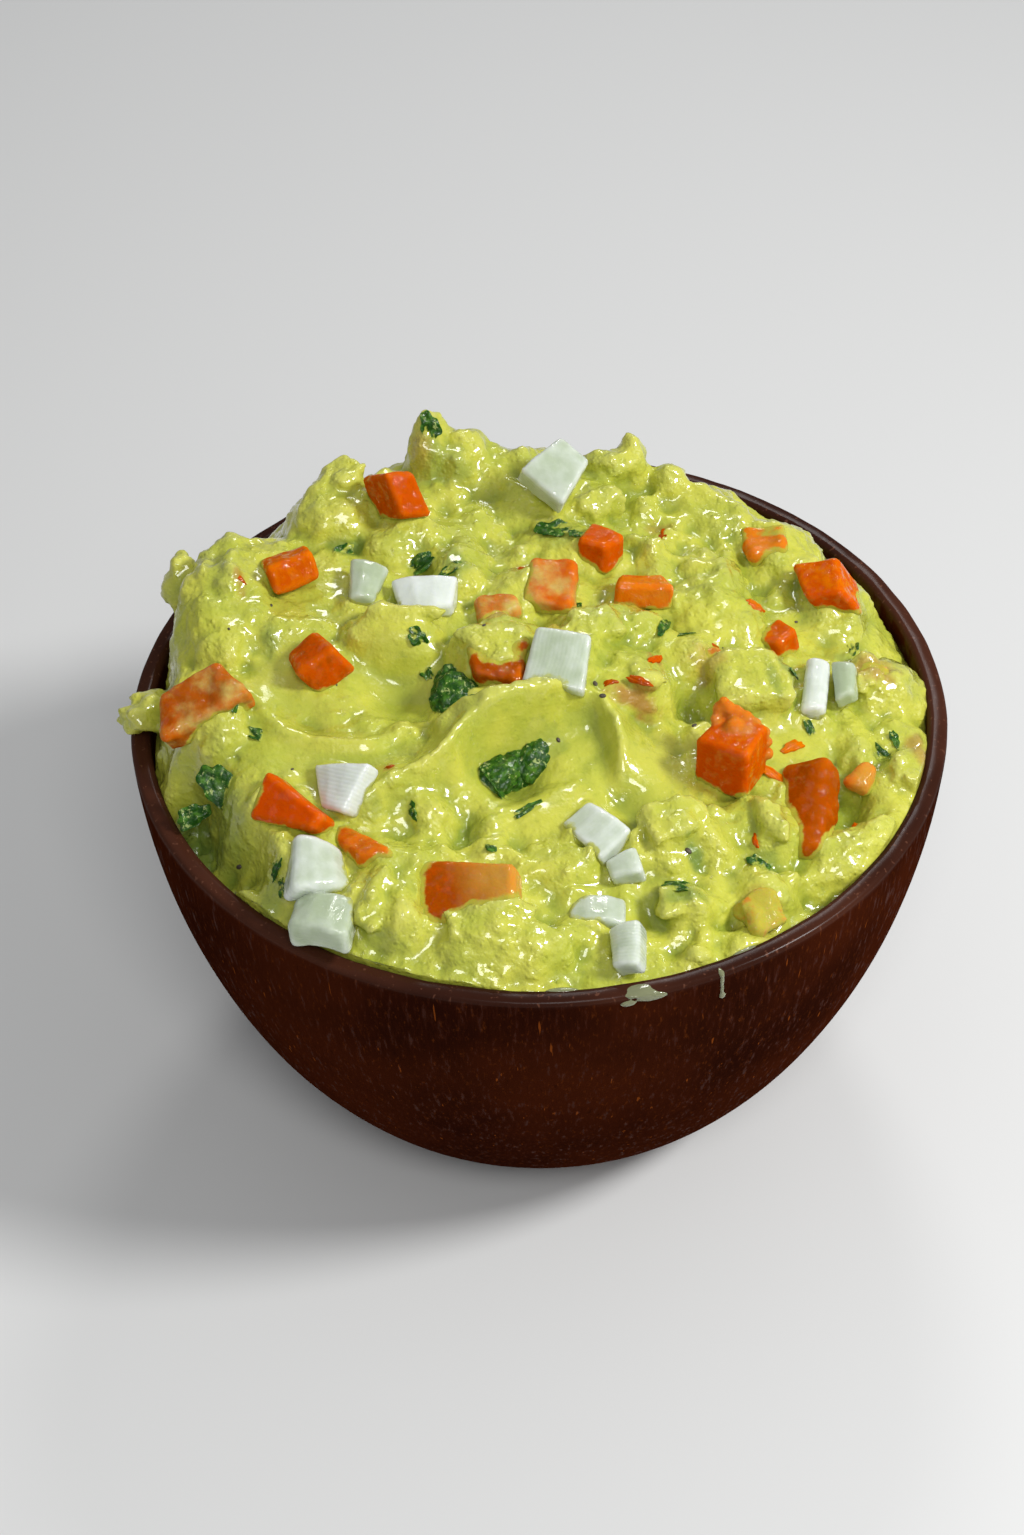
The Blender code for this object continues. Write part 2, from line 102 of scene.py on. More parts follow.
PITS = (
    (-21, -8, 8, 8, 0, 4.4), (-4, -22.5, 6.5, 5.5, 25, 4.6), (-11, -33, 3.2, 3.6, 0, 3.4),
    (23, -8.5, 2.8, 2.2, 0, 4.2),
    (12.5, -28, 3, 8, 35, 2.6), (22, -38.5, 3, 1.8, 0, 2.8), (43.6, -21.5, 2.2, 6.2, -8, 3.8),
    (33, 19, 2.2, 9, 5, 2.4),
    (-18, 18, 3, 4, -20, 2.4), (0, -9.8, 6.5, 2.0, 8, 3.8), (-33, -16, 8, 5, -15, 1.6),
    (9, -46, 9, 3.4, 0, 1.4),
    (-20, -33, 4, 2.4, -30, 2.0), (27, -47, 3, 2, 30, 1.0),
)

# Folds that the spoon left: the crest's points, then rise, half width of the steep side (the left), of the other.
FOLDS = (
    (((11, -25), (11.6, -19.5), (10.6, -15.4), (7.8, -12.9), (4, -13.2), (0, -15), (-5, -17), (-9, -19),
      (-12, -21.5), (-14, -24.5), (-17.5, -26.5), (-23, -29.5), (-29, -33)), 4.8, 1.6, 4.6),
    (((-15.5, -19), (-13.5, -16), (-9, -15.8), (-4, -14.4), (0, -12.6), (3, -10.2)), 3.0, 1.2, 3.6),
    (((-16, -16), (-20, -17.5), (-25, -20), (-31, -19.5), (-37, -17.5), (-41, -13), (-44, -7)), 1.4, 1.6, 3.5),
    (((11.5, -39.5), (13.5, -35.5), (16.5, -31.5), (21, -28.5)), 2.2, 1.4, 4.0),
)

# Lumps that stand free of the heap's top, or lie on a topping: x, y, height above the rim, half sizes, turn.
LOOSE_LUMPS = (
    (-57.6, -4.6, 3.2, (5.4, 3.4, 2.8), 16), (-54.6, 19.5, 8.0, (3.2, 4.4, 4.0), 0),
    (-7.4, -2.8, 15.9, (4.4, 2.6, 1.2), 12), (-6.8, -10.6, 10.4, (4.2, 2.0, 2.0), 0),
)

# Dabs of mash that lap over what is in the heap: x, y, height of the middle above the heap, half sizes, turn.
DABS = (
    (-7.4, -50.4, 0.0, (6.6, 3.0, 1.8), 12), (47.6, -31.2, 0.2, (5.4, 2.2, 1.6), 40),
    (-23.8, -45.4, 0.2, (3.4, 6.6, 2.8), -14), (-41.0, -43.4, 0.6, (4.8, 8.0, 3.2), -32),
    (2.6, -50.6, -0.2, (4.0, 2.2, 1.6), 0), (49.6, 1.0, 0.0, (2.4, 4.6, 1.4), 0),
    (-2.4, 29.4, 0.0, (3.6, 2.4, 1.6), 0), (47.0, -11.4, 0.6, (3.0, 6.0, 1.8), 8),
    (-50.4, -34.0, 0.0, (2.4, 3.0, 2.4), 20), (-53.6, -22.0, 0.0, (1.8, 2.6, 2.2), 0),
    (-20.0, 2.6, 0.2, (6.0, 1.6, 1.2), -8), (24.6, -41.6, 0.4, (3.2, 2.2, 1.6), 30),
    (33.0, -31.6, 0.6, (2.0, 4.4, 1.8), 24), (-48.0, -36.5, 0.0, (3.0, 2.6, 2.2), 0),
    (12.4, 41.0, 0.4, (4.6, 3.0, 2.6), 0), (-46.4, -13.6, 0.2, (3.4, 3.0, 1.6), 20),
    (5.0, -34.0, -0.2, (3.6, 1.8, 1.4), 14), (15.4, -9.0, 0.0, (3.0, 2.0, 1.6), -20),
)

# Softened dice of avocado: x, y, height of the middle above the heap, half sizes, how boxy, turn, tilt about X and Y.
CHUNKS = (
    (31.6, -5.2, 0.6, (6.0, 5.0, 3.4), 0.8, 10, 14, 4), (18.2, -33.6, -0.7, (4.8, 3.6, 2.8), 0.35, 36, 12, -6),
    (-50.0, -28.0, 0.8, (3.4, 2.6, 2.0), 0.5, 20, 24, 20), (27.4, -37.4, -0.6, (3.6, 2.8, 2.2), 0.3, 20, 10, 0),
    (54.0, -18.0, -0.6, (2.6, 3.6, 2.2), 0.4, -16, 0, 14), (19.4, -45.6, -0.9, (3.4, 2.6, 2.0), 0.3, 10, 10, 0),
    (-33.4, -1.0, -0.8, (3.4, 3.0, 2.2), 0.4, 30, 0, 0), (40.0, 24.0, -0.5, (4.0, 3.4, 2.2), 0.4, -30, 0, 8),
    (-47.0, 18.0, -0.4, (3.8, 3.4, 2.4), 0.4, 30, 10, -8), (10.0, 33.0, -0.5, (3.8, 3.2, 2.2), 0.4, 20, -8, 0),
    (-30.0, 33.0, -0.2, (3.6, 3.2, 2.4), 0.4, 50, -10, -6), (8.6, 1.6, -0.5, (4.2, 3.4, 2.4), 0.4, 24, 4, 0),
)

# Hollows beside the wall and between the pieces, which the solid leaves out: x, y, half sizes, turn, depth.
GAPS = (
    (-51.6, -26.5, 4.6, 8.0, 16, 6.0), (-26.0, -36.6, 6.4, 4.6, -36, 1.8), (-12.0, -46.4, 6.6, 2.6, 0, 1.4), (45.4, -24.0, 2.4, 6.4, -12, 3.0), (55.0, -28.0, 3.0, 6.0, -25, 2.0),
    (-34.6, -46.0, 4.2, 7.0, -10, 1.2), (30.0, 2.6, 3.4, 2.0, 10, 1.6), (2.0, 16.6, 4.0, 1.8, 10, 1.6),
    (-24.6, 16.6, 4.6, 2.0, 10, 1.8), (52.0, 6.2, 3.4, 1.8, 20, 1.6), (15.6, -46.6, 2.2, 3.2, 0, 1.2),
)

# Where the heap stands off the wall: middle and half width in degrees, radius that the gap starts at, depth.
WALL_GAP = (213, 13, 52.5, 9.0)

# Places where the mash is coarser.
COARSE_PLACES = (
    (34, -38, 17, 10, 38), (50, -10, 9, 20, -10), (-46, 22, 11, 16, 20), (-47, -28, 9, 16, 10),
    (18, -52, 18, 6, 12), (10, 28, 22, 12, 0), (38, 26, 10, 16, 40), (-18, -50, 12, 6, -15),
)

# Juice of the tomato in the mash: x, y, half width, half length, turn, strength.
STAINS = (
    (13.4, -12.0, 4.6, 1.3, 0, 0.8), (17.4, -4.2, 1.0, 2.8, 30, 0.7), (25.4, -3.0, 2.6, 3.4, 0, 0.4),
    (-1.6, 15.6, 3.2, 2.4, 0, 0.7), (-6.6, 3.2, 4.6, 1.6, 10, 0.5), (-4.6, -9.6, 3.4, 1.4, 0, 0.4),
    (56.6, -14.0, 2.2, 5.4, 8, 0.6), (50.8, 0.6, 3.8, 3.2, 0, 0.6), (30.2, -45.8, 3.6, 3.8, 0, 0.3),
    (-44.6, 9.0, 0.8, 2.4, 10, 0.6), (19.6, 30.2, 2.6, 1.8, 0, 0.4), (-22.0, -25.4, 0.8, 1.2, 0, 0.8),
    (40.2, -31.8, 3.6, 0.7, 40, 0.5), (-18.0, 38.8, 2.0, 2.0, 0, 0.3),
)

# Places that the chopped herb and darker avocado show through, in the same way. The two by the wall at the left front,
# at -51, -26 and -45.6, -29, also paint the shade in the gap between the mash and the wall.
GREENS_AND_GAP_SHADE = (
    (-29.0, 21.0, 3.6, 1.6, 10, 0.6), (19.2, -45.6, 3.4, 1.6, 0, 0.6), (31.8, -37.0, 2.6, 1.8, 0, 0.5),
    (37.0, -3.8, 1.2, 3.2, 20, 0.6), (-51.0, -26.0, 3.6, 5.6, 15, 0.75), (1.2, -18.4, 2.6, 1.8, 20, 0.35), (-40.0, -1.0, 1.6, 2.6, 0, 0.5),
    (-13.4, 38.0, 4.4, 3.0, 0, 0.45), (4.0, 24.0, 4.0, 3.0, 0, 0.45), (-12.4, 14.6, 2.0, 4.6, 20, 0.6),
    (-10.6, -32.6, 3.0, 2.6, 0, 0.3), (-45.6, -29.0, 3.6, 5.6, 20, 0.45), (42.6, 13.4, 2.2, 3.4, 0, 0.3),
    (21.6, -37.6, 1.6, 1.4, 0, 0.8), (-38.6, -43.0, 1.6, 3.4, 0, 0.4), (34.8, -6.4, 1.0, 3.4, 10, 0.5),
    (-24.4, -31.4, 2.4, 1.6, 0, 0.3), (30.6, 30.0, 2.4, 2.0, 0, 0.3), (46.6, 5.6, 2.0, 1.2, 0, 0.35),
)

# Places that the spoon left smooth: x, y, half width, half length, turn.
SMOOTH_PLACES = (
    (-6, -20, 13, 7, 25), (-21, -6, 8, 8, 0), (13, -24, 6, 11, 30), (-31, -22, 13, 8, -15), (8, -16, 6, 5, 0),
    (2, -29, 8, 5, 0), (-38, -9, 7, 6, 0), (10, -46, 8, 4, 0), (38, -14, 5, 5, 0),
)

TOMATOES = [name for name in sorted(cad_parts) if name.startswith("tomato")]
ONIONS = [name for name in sorted(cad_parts) if name.startswith("onion")]


# Modelling.


def new_piece(name, bm):
    """An object from a bmesh in millimetres."""
    bmesh.ops.recalc_face_normals(bm, faces=bm.faces)
    bm.transform(Matrix.Scale(MM, 4))
    mesh = bpy.data.meshes.new(name)
    bm.to_mesh(mesh)
    bm.free()
    obj = bpy.data.objects.new(name, mesh)
    bpy.context.scene.collection.objects.link(obj)
    return obj


def settle(obj):
    """Makes the object's modifiers part of its mesh."""
    graph = bpy.context.evaluated_depsgraph_get()
    mesh = bpy.data.meshes.new_from_object(obj.evaluated_get(graph))
    obj.modifiers.clear()
    old, obj.data = obj.data, mesh
    bpy.data.meshes.remove(old)


def remesh(obj, voxel):
    """Joins the closed bodies in the object into one skin of even faces, this many millimetres across."""
    skin = obj.modifiers.new("skin", "REMESH")
    skin.mode = "VOXEL"
    skin.voxel_size = voxel * MM
    settle(obj)


def points_of(mesh):
    """The mesh's points in millimetres."""
    points = np.empty(len(mesh.vertices) * 3)
    mesh.vertices.foreach_get("co", points)
    return points.reshape(-1, 3) / MM


def normals_of(mesh):
    normals = np.empty(len(mesh.vertices) * 3)
    mesh.vertex_normals.foreach_get("vector", normals)
    return normals.reshape(-1, 3)


def move_points(mesh, points):
    mesh.vertices.foreach_set("co", (points * MM).ravel())
    mesh.update()


def store(mesh, name, values):
    """A value for each point, which a material reads by its name."""
    layer = mesh.attributes.new(name, "FLOAT", "POINT")
    layer.data.foreach_set("value", np.asarray(values, np.float32))


def evened(mesh, values, rounds, share=0.5):
    """Values of the points, or their places, averaged with their neighbours'."""
    ends = np.empty(len(mesh.edges) * 2, np.int32)
    mesh.edges.foreach_get("vertices", ends)
    a, b = ends.reshape(-1, 2).T
    count = len(mesh.vertices)
    neighbours = np.maximum(np.bincount(a, minlength=count) + np.bincount(b, minlength=count), 1)
    values = np.array(values, float)
    columns = values.reshape(count, -1)
    for _ in range(rounds):
        for column in range(columns.shape[1]):
            value = columns[:, column]
            around = np.bincount(a, value[b], count) + np.bincount(b, value[a], count)
            columns[:, column] = value * (1 - share) + around / neighbours * share
    return columns.reshape(values.shape)


def noise_at(points, size, seed=0.0):
    """Smooth noise of about -1 to 1 whose bumps are this many millimetres apart."""
    return np.array([noise.noise(p) for p in (points / size + seed).tolist()])


def billows(points, size, seed=0.0):
    """Noise of about -0.5 to 1.5 with round hills and sharp creases between them."""
    return 2.4 * np.abs(noise_at(points, size, seed)) - 0.5


def ramp(t):
    """From 0 to 1, with no slope at its ends."""
    t = np.clip(t, 0, 1)
    return t * t * (3 - 2 * t)


def in_ellipse(x, y, at_x, at_y, half_width, half_length, turn):
    """Distance from a spoonful's middle, where 1 is its outline."""
    c, s = cos(radians(turn)), sin(radians(turn))
    across = ((x - at_x) * c + (y - at_y) * s) / half_width
    along = (-(x - at_x) * s + (y - at_y) * c) / half_length
    return np.hypot(across, along)


def soft_max(a, b, rounding=1.2):
    return np.maximum(a, b) + np.maximum(rounding - np.abs(a - b), 0) ** 2 / (4 * rounding)


def smooth_path(points, steps=6):
    """Points on a Catmull-Rom curve through the given ones."""
    padded = [points[0], *points, points[-1]]
    path = []
    for a, b, c, d in zip(padded, padded[1:], padded[2:], padded[3:]):
        a, b, c, d = (np.array(p, float) for p in (a, b, c, d))
        for step in range(steps):
            t = step / steps
            bend = (2 * a - 5 * b + 4 * c - d) * t**2 + (3 * b - a - 3 * c + d) * t**3
            path.append(0.5 * (2 * b + (c - a) * t + bend))
    path.append(np.array(points[-1], float))
    return path


# The heap's form.


def slope_of_heap(x, y):
    return 5.5 + 0.10 * y - 0.11 * x + 5.0 * (1 - (x * x + y * y) / 58**2)


def heap_edge(x, y):
    angles = [row[0] for row in HEAP_EDGE] + [360 + HEAP_EDGE[0][0]]
    rows = np.array([row[1:] for row in HEAP_EDGE] + [HEAP_EDGE[0][1:]], float)
    around = np.degrees(np.arctan2(y, x)) % 360
    return np.interp(around, angles, rows[:, 0]), np.interp(around, angles, rows[:, 1])


def fold_height(x, y, points, rise, steep, gentle, ragged):
    """A ridge along a curve with a thin lip on its crest, and marks of the spoon beside it."""
    path = smooth_path(points)
    nearest = np.full(x.shape, np.inf)
    height = np.zeros(x.shape)
    for number, (a, b) in enumerate(zip(path, path[1:])):
        ahead = b - a
        length = np.hypot(*ahead)
        t = np.clip(((x - a[0]) * ahead[0] + (y - a[1]) * ahead[1]) / length**2, 0, 1)
        dx, dy = x - a[0] - t * ahead[0], y - a[1] - t * ahead[1]
        away = np.hypot(dx, dy)
        left = ahead[0] * dy - ahead[1] * dx > 0
        width = np.where(left, steep, gentle)
        share = (number + t) / (len(path) - 1)
        strength = np.sin(pi * np.clip(share, 0.0, 1.0)) ** 0.5
        here = rise * np.exp(-((away / width) ** 2))
        here += 0.42 * rise * (1 + 0.6 * ragged) * np.exp(-((away / np.where(left, 0.7, 1.2)) ** 2))
        here += np.where(left, 0.0, 0.14 * np.sin(away * 3.4) * np.exp(-((away / 6.0) ** 2)))
        height = np.where(away < nearest, here * strength, height)
        nearest = np.minimum(away, nearest)
    return height


def scattered_lumps(x, y, count, sizes, rises, seed):
    """Small uneven lumps all over the heap."""
    chance = np.random.default_rng(seed)
    height = np.zeros(x.shape)
    for _ in range(count):
        radius = 58 * chance.random() ** 0.5
        turn = chance.random() * 2 * pi
        size = chance.uniform(*sizes)
        place = (radius * cos(turn), radius * sin(turn), size, size * chance.uniform(0.6, 1.3))
        near = (np.abs(x - place[0]) < 1.4 * size) & (np.abs(y - place[1]) < 1.4 * size)
        d = in_ellipse(x[near], y[near], *place, chance.uniform(0, 180))
        rise = chance.uniform(*rises) * size
        height[near] = np.maximum(height[near], rise * np.sqrt(np.clip(1 - d * d, 0, None)))
    return height


def share_of(places, x, y, power=4):
    """How far each point lies in any of the places, from 0 to 1."""
    share = np.zeros(x.shape)
    for place in places:
        share = np.maximum(share, np.exp(-(in_ellipse(x, y, *place) ** power)))
    return share


def heap_height(x, y, clear=None):
    """Height of the guacamole's top above the plane of the rim, calmer where it is clear of lumps, from 0 to 1."""
    flat = np.stack([x, y, np.zeros(x.shape)], axis=1)
    ragged = noise_at(flat, 1.7, 4.0)
    smooth = share_of(SMOOTH_PLACES, x, y)
    drift = 1 - 0.7 * smooth
    x = x + drift * (1.2 * noise_at(flat, 6.5, 11.0) + 0.5 * noise_at(flat, 2.6, 31.0))
    y = y + drift * (1.2 * noise_at(flat, 6.5, 57.0) + 0.5 * noise_at(flat, 2.6, 71.0))
    height = slope_of_heap(x, y)
    for *place, rise in SPOONFULS:
        d = in_ellipse(x, y, *place)
        dome = slope_of_heap(place[0], place[1]) - 1.5 + (rise + 1.5) * np.sqrt(np.clip(1.3 - d * d, 0, None))
        height = np.where(d < 1.14, soft_max(height, dome, 0.8), height)
    for *place, rise in BLOCKS:
        height += rise * np.exp(-(in_ellipse(x, y, *place) ** 6))
    for *place, depth in PITS + GAPS:
        height -= depth * np.exp(-1.6 * in_ellipse(x, y, *place) ** 2)
    for fold in FOLDS:
        height += fold_height(x, y, *fold, ragged)
    rough = (1 - 0.88 * smooth) * (1 + 0.6 * share_of(COARSE_PLACES, x, y))
    if clear is not None:
        rough *= 1 - clear
    height += rough * scattered_lumps(x, y, 170, (1.8, 3.6), (0.25, 0.5), 5)
    height += rough * scattered_lumps(x, y, 260, (0.8, 1.6), (0.2, 0.5), 8)
    height += rough * (0.85 * billows(flat, 7.0, 3.0) + 0.4 * billows(flat, 3.4, 9.0) - 0.6)
    radius = np.hypot(x, y)
    off_gap = np.abs(np.degrees(np.arctan2(y, x)) % 360 - WALL_GAP[0])
    height -= WALL_GAP[3] * ramp((radius - WALL_GAP[2]) / 4) * ramp((WALL_GAP[1] + 5 - off_gap) / 10)
    edge, fall = heap_edge(x, y)
    height -= fall * ramp((radius - edge) / SHOULDER_WIDTH + 1)
    rounded = np.minimum(height, 0.4 + 0.3 * ragged)
    height += (rounded - height) * ramp((radius - (INNER_RADIUS - 4.2)) / 4.2)
    over = ramp((radius - edge) / EDGE_SLOPE)
    return height * (1 - over) + SUNK_EDGE * over


def wall_radius(level):
    """Radius of the bowl's inside at a height above its foot."""
    depth = np.clip((RIM_LEVEL - level) / (RIM_LEVEL - FLOOR_THICKNESS), 0, 1)
    down = depth ** (1 / INNER_SWELL)
    return INNER_RADIUS * (1 - down**2) ** (INNER_SWELL / 2)


def wall_outside(level):
    """Radius of the bowl's outside at a height above its foot."""
    across = np.clip(1 - level / RIM_LEVEL, 0, 1) ** (1 / OUTER_SWELL)
    return FOOT_RADIUS + (RIM_RADIUS - FOOT_RADIUS) * np.sqrt(1 - across**2) ** OUTER_SWELL


def add_lump(bm, place, halves, boxy, seed):
    """A closed uneven lump, from round (0) to boxy (1)."""
    power = 2 + 5 * boxy
    for vertex in bmesh.ops.create_icosphere(bm, subdivisions=4, radius=1)["verts"]:
        size = sum(abs(part) ** power for part in vertex.co) ** (-1 / power)
        spot = Vector([part * size * half for part, half in zip(vertex.co, halves)])
        uneven = (0.5 - 0.4 * boxy) * noise.noise(spot * 0.38 + Vector((seed, 0, 0)))
        uneven += (0.22 - 0.14 * boxy) * noise.noise(spot * 0.9 + Vector((0, seed, 0)))
        vertex.co = place @ (spot * (1 + uneven))


def heap_body(step):
    """A closed block whose top is the heap."""
    half = INNER_RADIUS + 1.5
    bm = bmesh.new()
    bmesh.ops.create_grid(bm, x_segments=round(2 * half / step), y_segments=round(2 * half / step), size=half)
    top = list(bm.verts)
    x, y = np.array([v.co.xy for v in top]).T
    level = RIM_LEVEL + slope_of_heap(x, y) + 2.5
    clear = 1 - ramp((distance_to_toppings(np.stack([x, y, level], axis=1), 6.0) - 1.5) / 3.5)
    for vertex, height in zip(top, heap_height(x, y, clear)):
        vertex.co.z = RIM_LEVEL + height
    skirt = bmesh.ops.extrude_edge_only(bm, edges=[e for e in bm.edges if e.is_boundary])["geom"]
    for vertex in (v for v in skirt if isinstance(v, bmesh.types.BMVert)):
        vertex.co.z = RIM_LEVEL - 16
    bmesh.ops.contextual_create(bm, geom=[e for e in skirt if isinstance(e, bmesh.types.BMEdge)])
    lumps = [(x, y, height, halves, (0, 0, turn), 0) for x, y, height, halves, turn in LOOSE_LUMPS]
    rows = [(x, y, lift, halves, 0, turn, 0, 0) for x, y, lift, halves, turn in DABS]
    for x, y, lift, halves, boxy, turn, tilt_x, tilt_y in (*rows, *CHUNKS):
        height = float(heap_height(np.array([float(x)]), np.array([float(y)]))[0]) + lift
        lumps.append((x, y, height, halves, (tilt_x, tilt_y, turn), boxy))
    for number, (x, y, height, halves, turns, boxy) in enumerate(lumps):
        turn = Euler([radians(angle) for angle in turns]).to_matrix().to_4x4()
        add_lump(bm, Matrix.Translation((x, y, RIM_LEVEL + height)) @ turn, halves, boxy, 3.7 * number)
    return bm


def distance_to_toppings(points, reach):
    """How far each point is from the nearest cut piece, up to the reach."""
    pieces = bmesh.new()
    for node in TOMATOES + ONIONS:
        merge_into(pieces, solid_of(node), Matrix())
    tree = BVHTree.FromBMesh(pieces)
    pieces.free()
    away = np.full(len(points), reach)
    for number in np.nonzero(points[:, 2] > RIM_LEVEL - 8)[0]:
        distance = tree.find_nearest(points[number].tolist(), reach)[3]
        if distance is not None:
            away[number] = distance
    return away


def creep(points):
    """How far the mash creeps up against what lies in it, at each point."""
    reach = 2.0
    uneven = np.clip(0.5 + 1.5 * noise_at(points, 3.4, 14.0), 0, 1.6)
    return 1.2 * uneven * (1 - distance_to_toppings(points, reach) / reach) ** 1.3


def calm_at(points):
    """From 1 where the mash is lumpy to 0.12 where the spoon smoothed it."""
    return 1 - 0.88 * share_of(SMOOTH_PLACES, points[:, 0], points[:, 1])


def patches(points, places, grain):
    """Strength of a stain at each point, from rows of ellipses, with soft and uneven edges."""
    share = np.zeros(len(points))
    uneven = 0.5 * noise_at(points, grain, 3.0)
    for *place, strength in places:
        inside = 1 - ramp((in_ellipse(points[:, 0], points[:, 1], *place) + uneven - 0.5) / 0.7)
        share = np.maximum(share, strength * inside)
    return share


def fill_down_to_floor(obj, cut_level):
    """Cuts the heap off level and fills the bowl below the cut, along its wall and down to its floor."""
    bm = bmesh.new()
    bm.from_mesh(obj.data)
    bm.transform(Matrix.Scale(1 / MM, 4))
    bmesh.ops.bisect_plane(
        bm, geom=bm.verts[:] + bm.edges[:] + bm.faces[:], dist=0.0001, plane_co=(0, 0, cut_level),
        plane_no=(0, 0, -1), clear_outer=True,
    )
    edges = [e for e in bm.edges if e.is_boundary]
    level = cut_level
    while level > FLOOR_THICKNESS + 0.5:
        lower = max(level - 9.0, FLOOR_THICKNESS + 0.3)
        ring = bmesh.ops.extrude_edge_only(bm, edges=edges)["geom"]
        edges = [e for e in ring if isinstance(e, bmesh.types.BMEdge)]
        radius = max(float(wall_radius(lower)) - 0.1, 1.0)
        for vertex in (v for v in ring if isinstance(v, bmesh.types.BMVert)):
            out = vertex.co.xy.normalized() * radius
            vertex.co = (out.x, out.y, lower)
        level = lower
    bmesh.ops.contextual_create(bm, geom=edges)
    bmesh.ops.recalc_face_normals(bm, faces=bm.faces)
    bm.transform(Matrix.Scale(MM, 4))
    bm.to_mesh(obj.data)
    bm.free()
    obj.data.update()


# Materials.


class Paint:
    """A Principled material and short ways to feed it."""

    def __init__(self, name, **sockets):
        self.material = bpy.data.materials.new(name)
        self.material.use_nodes = True
        self.tree = self.material.node_tree
        self.shader = self.tree.nodes["Principled BSDF"]
        for socket, value in sockets.items():
            self.shader.inputs[socket.replace("_", " ")].default_value = value
        self.place = self.tree.nodes.new("ShaderNodeTexCoord").outputs["Object"]

    def node(self, kind, *links, **settings):
        made = self.tree.nodes.new("ShaderNode" + kind)
        for key, value in settings.items():
            setattr(made, key, value)
        for socket, value in links:
            if isinstance(value, bpy.types.NodeSocket):
                self.tree.links.new(value, made.inputs[socket])
            else:
                made.inputs[socket].default_value = value
        return made

    def feed(self, socket, value):
        self.tree.links.new(value, self.shader.inputs[socket])

    def stretched(self, scale):
        return self.node("Mapping", ("Vector", self.place), ("Scale", scale)).outputs["Vector"]

    def noise(self, size_mm, detail=3.0, roughness=0.5, place=None, distortion=0.0):
        return self.node(
            "TexNoise", ("Vector", place or self.place), ("Scale", 1 / (size_mm * MM)), ("Detail", detail),
            ("Roughness", roughness), ("Distortion", distortion),
        ).outputs["Fac"]

    def cells(self, size_mm, place=None, feature="F1"):
        return self.node(
            "TexVoronoi", ("Vector", place or self.place), ("Scale", 1 / (size_mm * MM)), feature=feature
        ).outputs["Distance"]

    def value(self, name):
        return self.node("Attribute", attribute_name=name).outputs["Fac"]

    def steps(self, value, low, high, to_low=0.0, to_high=1.0):
        """The value's range from low to high, drawn out smoothly to the other range."""
        return self.node(
            "MapRange", ("Value", value), ("From Min", low), ("From Max", high), ("To Min", to_low),
            ("To Max", to_high), interpolation_type="SMOOTHSTEP",
        ).outputs["Result"]

    def sum(self, a, b, how="ADD"):
        made = self.node("Math", (0, a), (1, b), operation=how)
        return made.outputs[0]

    def blend(self, share, a, b, how="MIX"):
        return self.node(
            "Mix", (0, share), (6, a), (7, b), data_type="RGBA", blend_type=how, clamp_factor=True
        ).outputs[2]

    def bump(self, height, distance_mm, strength=1.0, below=None):
        links = [("Height", height), ("Distance", distance_mm * MM), ("Strength", strength)]
        if below:
            links.append(("Normal", below))
        return self.node("Bump", *links).outputs["Normal"]


def rgb(*parts):
    return (*parts, 1.0)


def wood_material(settings):
    paint = Paint("oiled_dark_wood", IOR=1.3, Specular_IOR_Level=0.0, Coat_Roughness=0.2)
    broad = paint.noise(30, 3, 0.5)
    grain = paint.noise(0.8, 5, 0.65, paint.stretched((1.0, 1.0, 0.16)))
    flecks = paint.noise(0.6, 4, 0.7, paint.stretched((1.0, 1.0, 0.35)))
    scuffs = paint.noise(0.8, 2, 0.5, paint.stretched((1.0, 1.0, 0.07)))
    colour = paint.blend(paint.steps(broad, 0.3, 0.7, 0.15, 0.85), rgb(*settings.dark), rgb(*settings.red))
    colour = paint.blend(paint.steps(grain, 0.45, 0.75, 0.0, 0.7), colour, rgb(*settings.red))
    colour = paint.blend(paint.steps(grain, 0.42, 0.25, 0.0, 0.5), colour, rgb(*settings.dark))
    colour = paint.blend(paint.steps(flecks, 0.55, 0.75, 0.0, 0.3), colour, rgb(*settings.fleck))
    colour = paint.blend(paint.steps(scuffs, 0.71, 0.76, 0.0, 0.8), colour, rgb(*settings.fleck))
    worn = paint.blend(paint.steps(broad, 0.35, 0.65), rgb(0.030, 0.009, 0.005), rgb(0.060, 0.019, 0.010))
    worn = paint.blend(paint.steps(scuffs, 0.62, 0.72, 0.0, 0.6), worn, rgb(0.15, 0.06, 0.035))
    colour = paint.blend(paint.value("lip"), colour, worn)
    smear = paint.sum(paint.value("inside"), paint.steps(paint.noise(5, 4), 0.45, 0.62, 0.0, 0.5), "MULTIPLY")
    colour = paint.blend(smear, colour, rgb(0.09, 0.07, 0.012))
    paint.feed("Base Color", colour)
    gloss = paint.sum(paint.steps(grain, 0.56, 0.7, 0.0, 0.12), paint.sum(paint.value("lip"), 0.16, "MULTIPLY"))
    paint.feed("Coat Weight", gloss)
    paint.feed("Normal", paint.bump(grain, 0.03))
    return paint.material


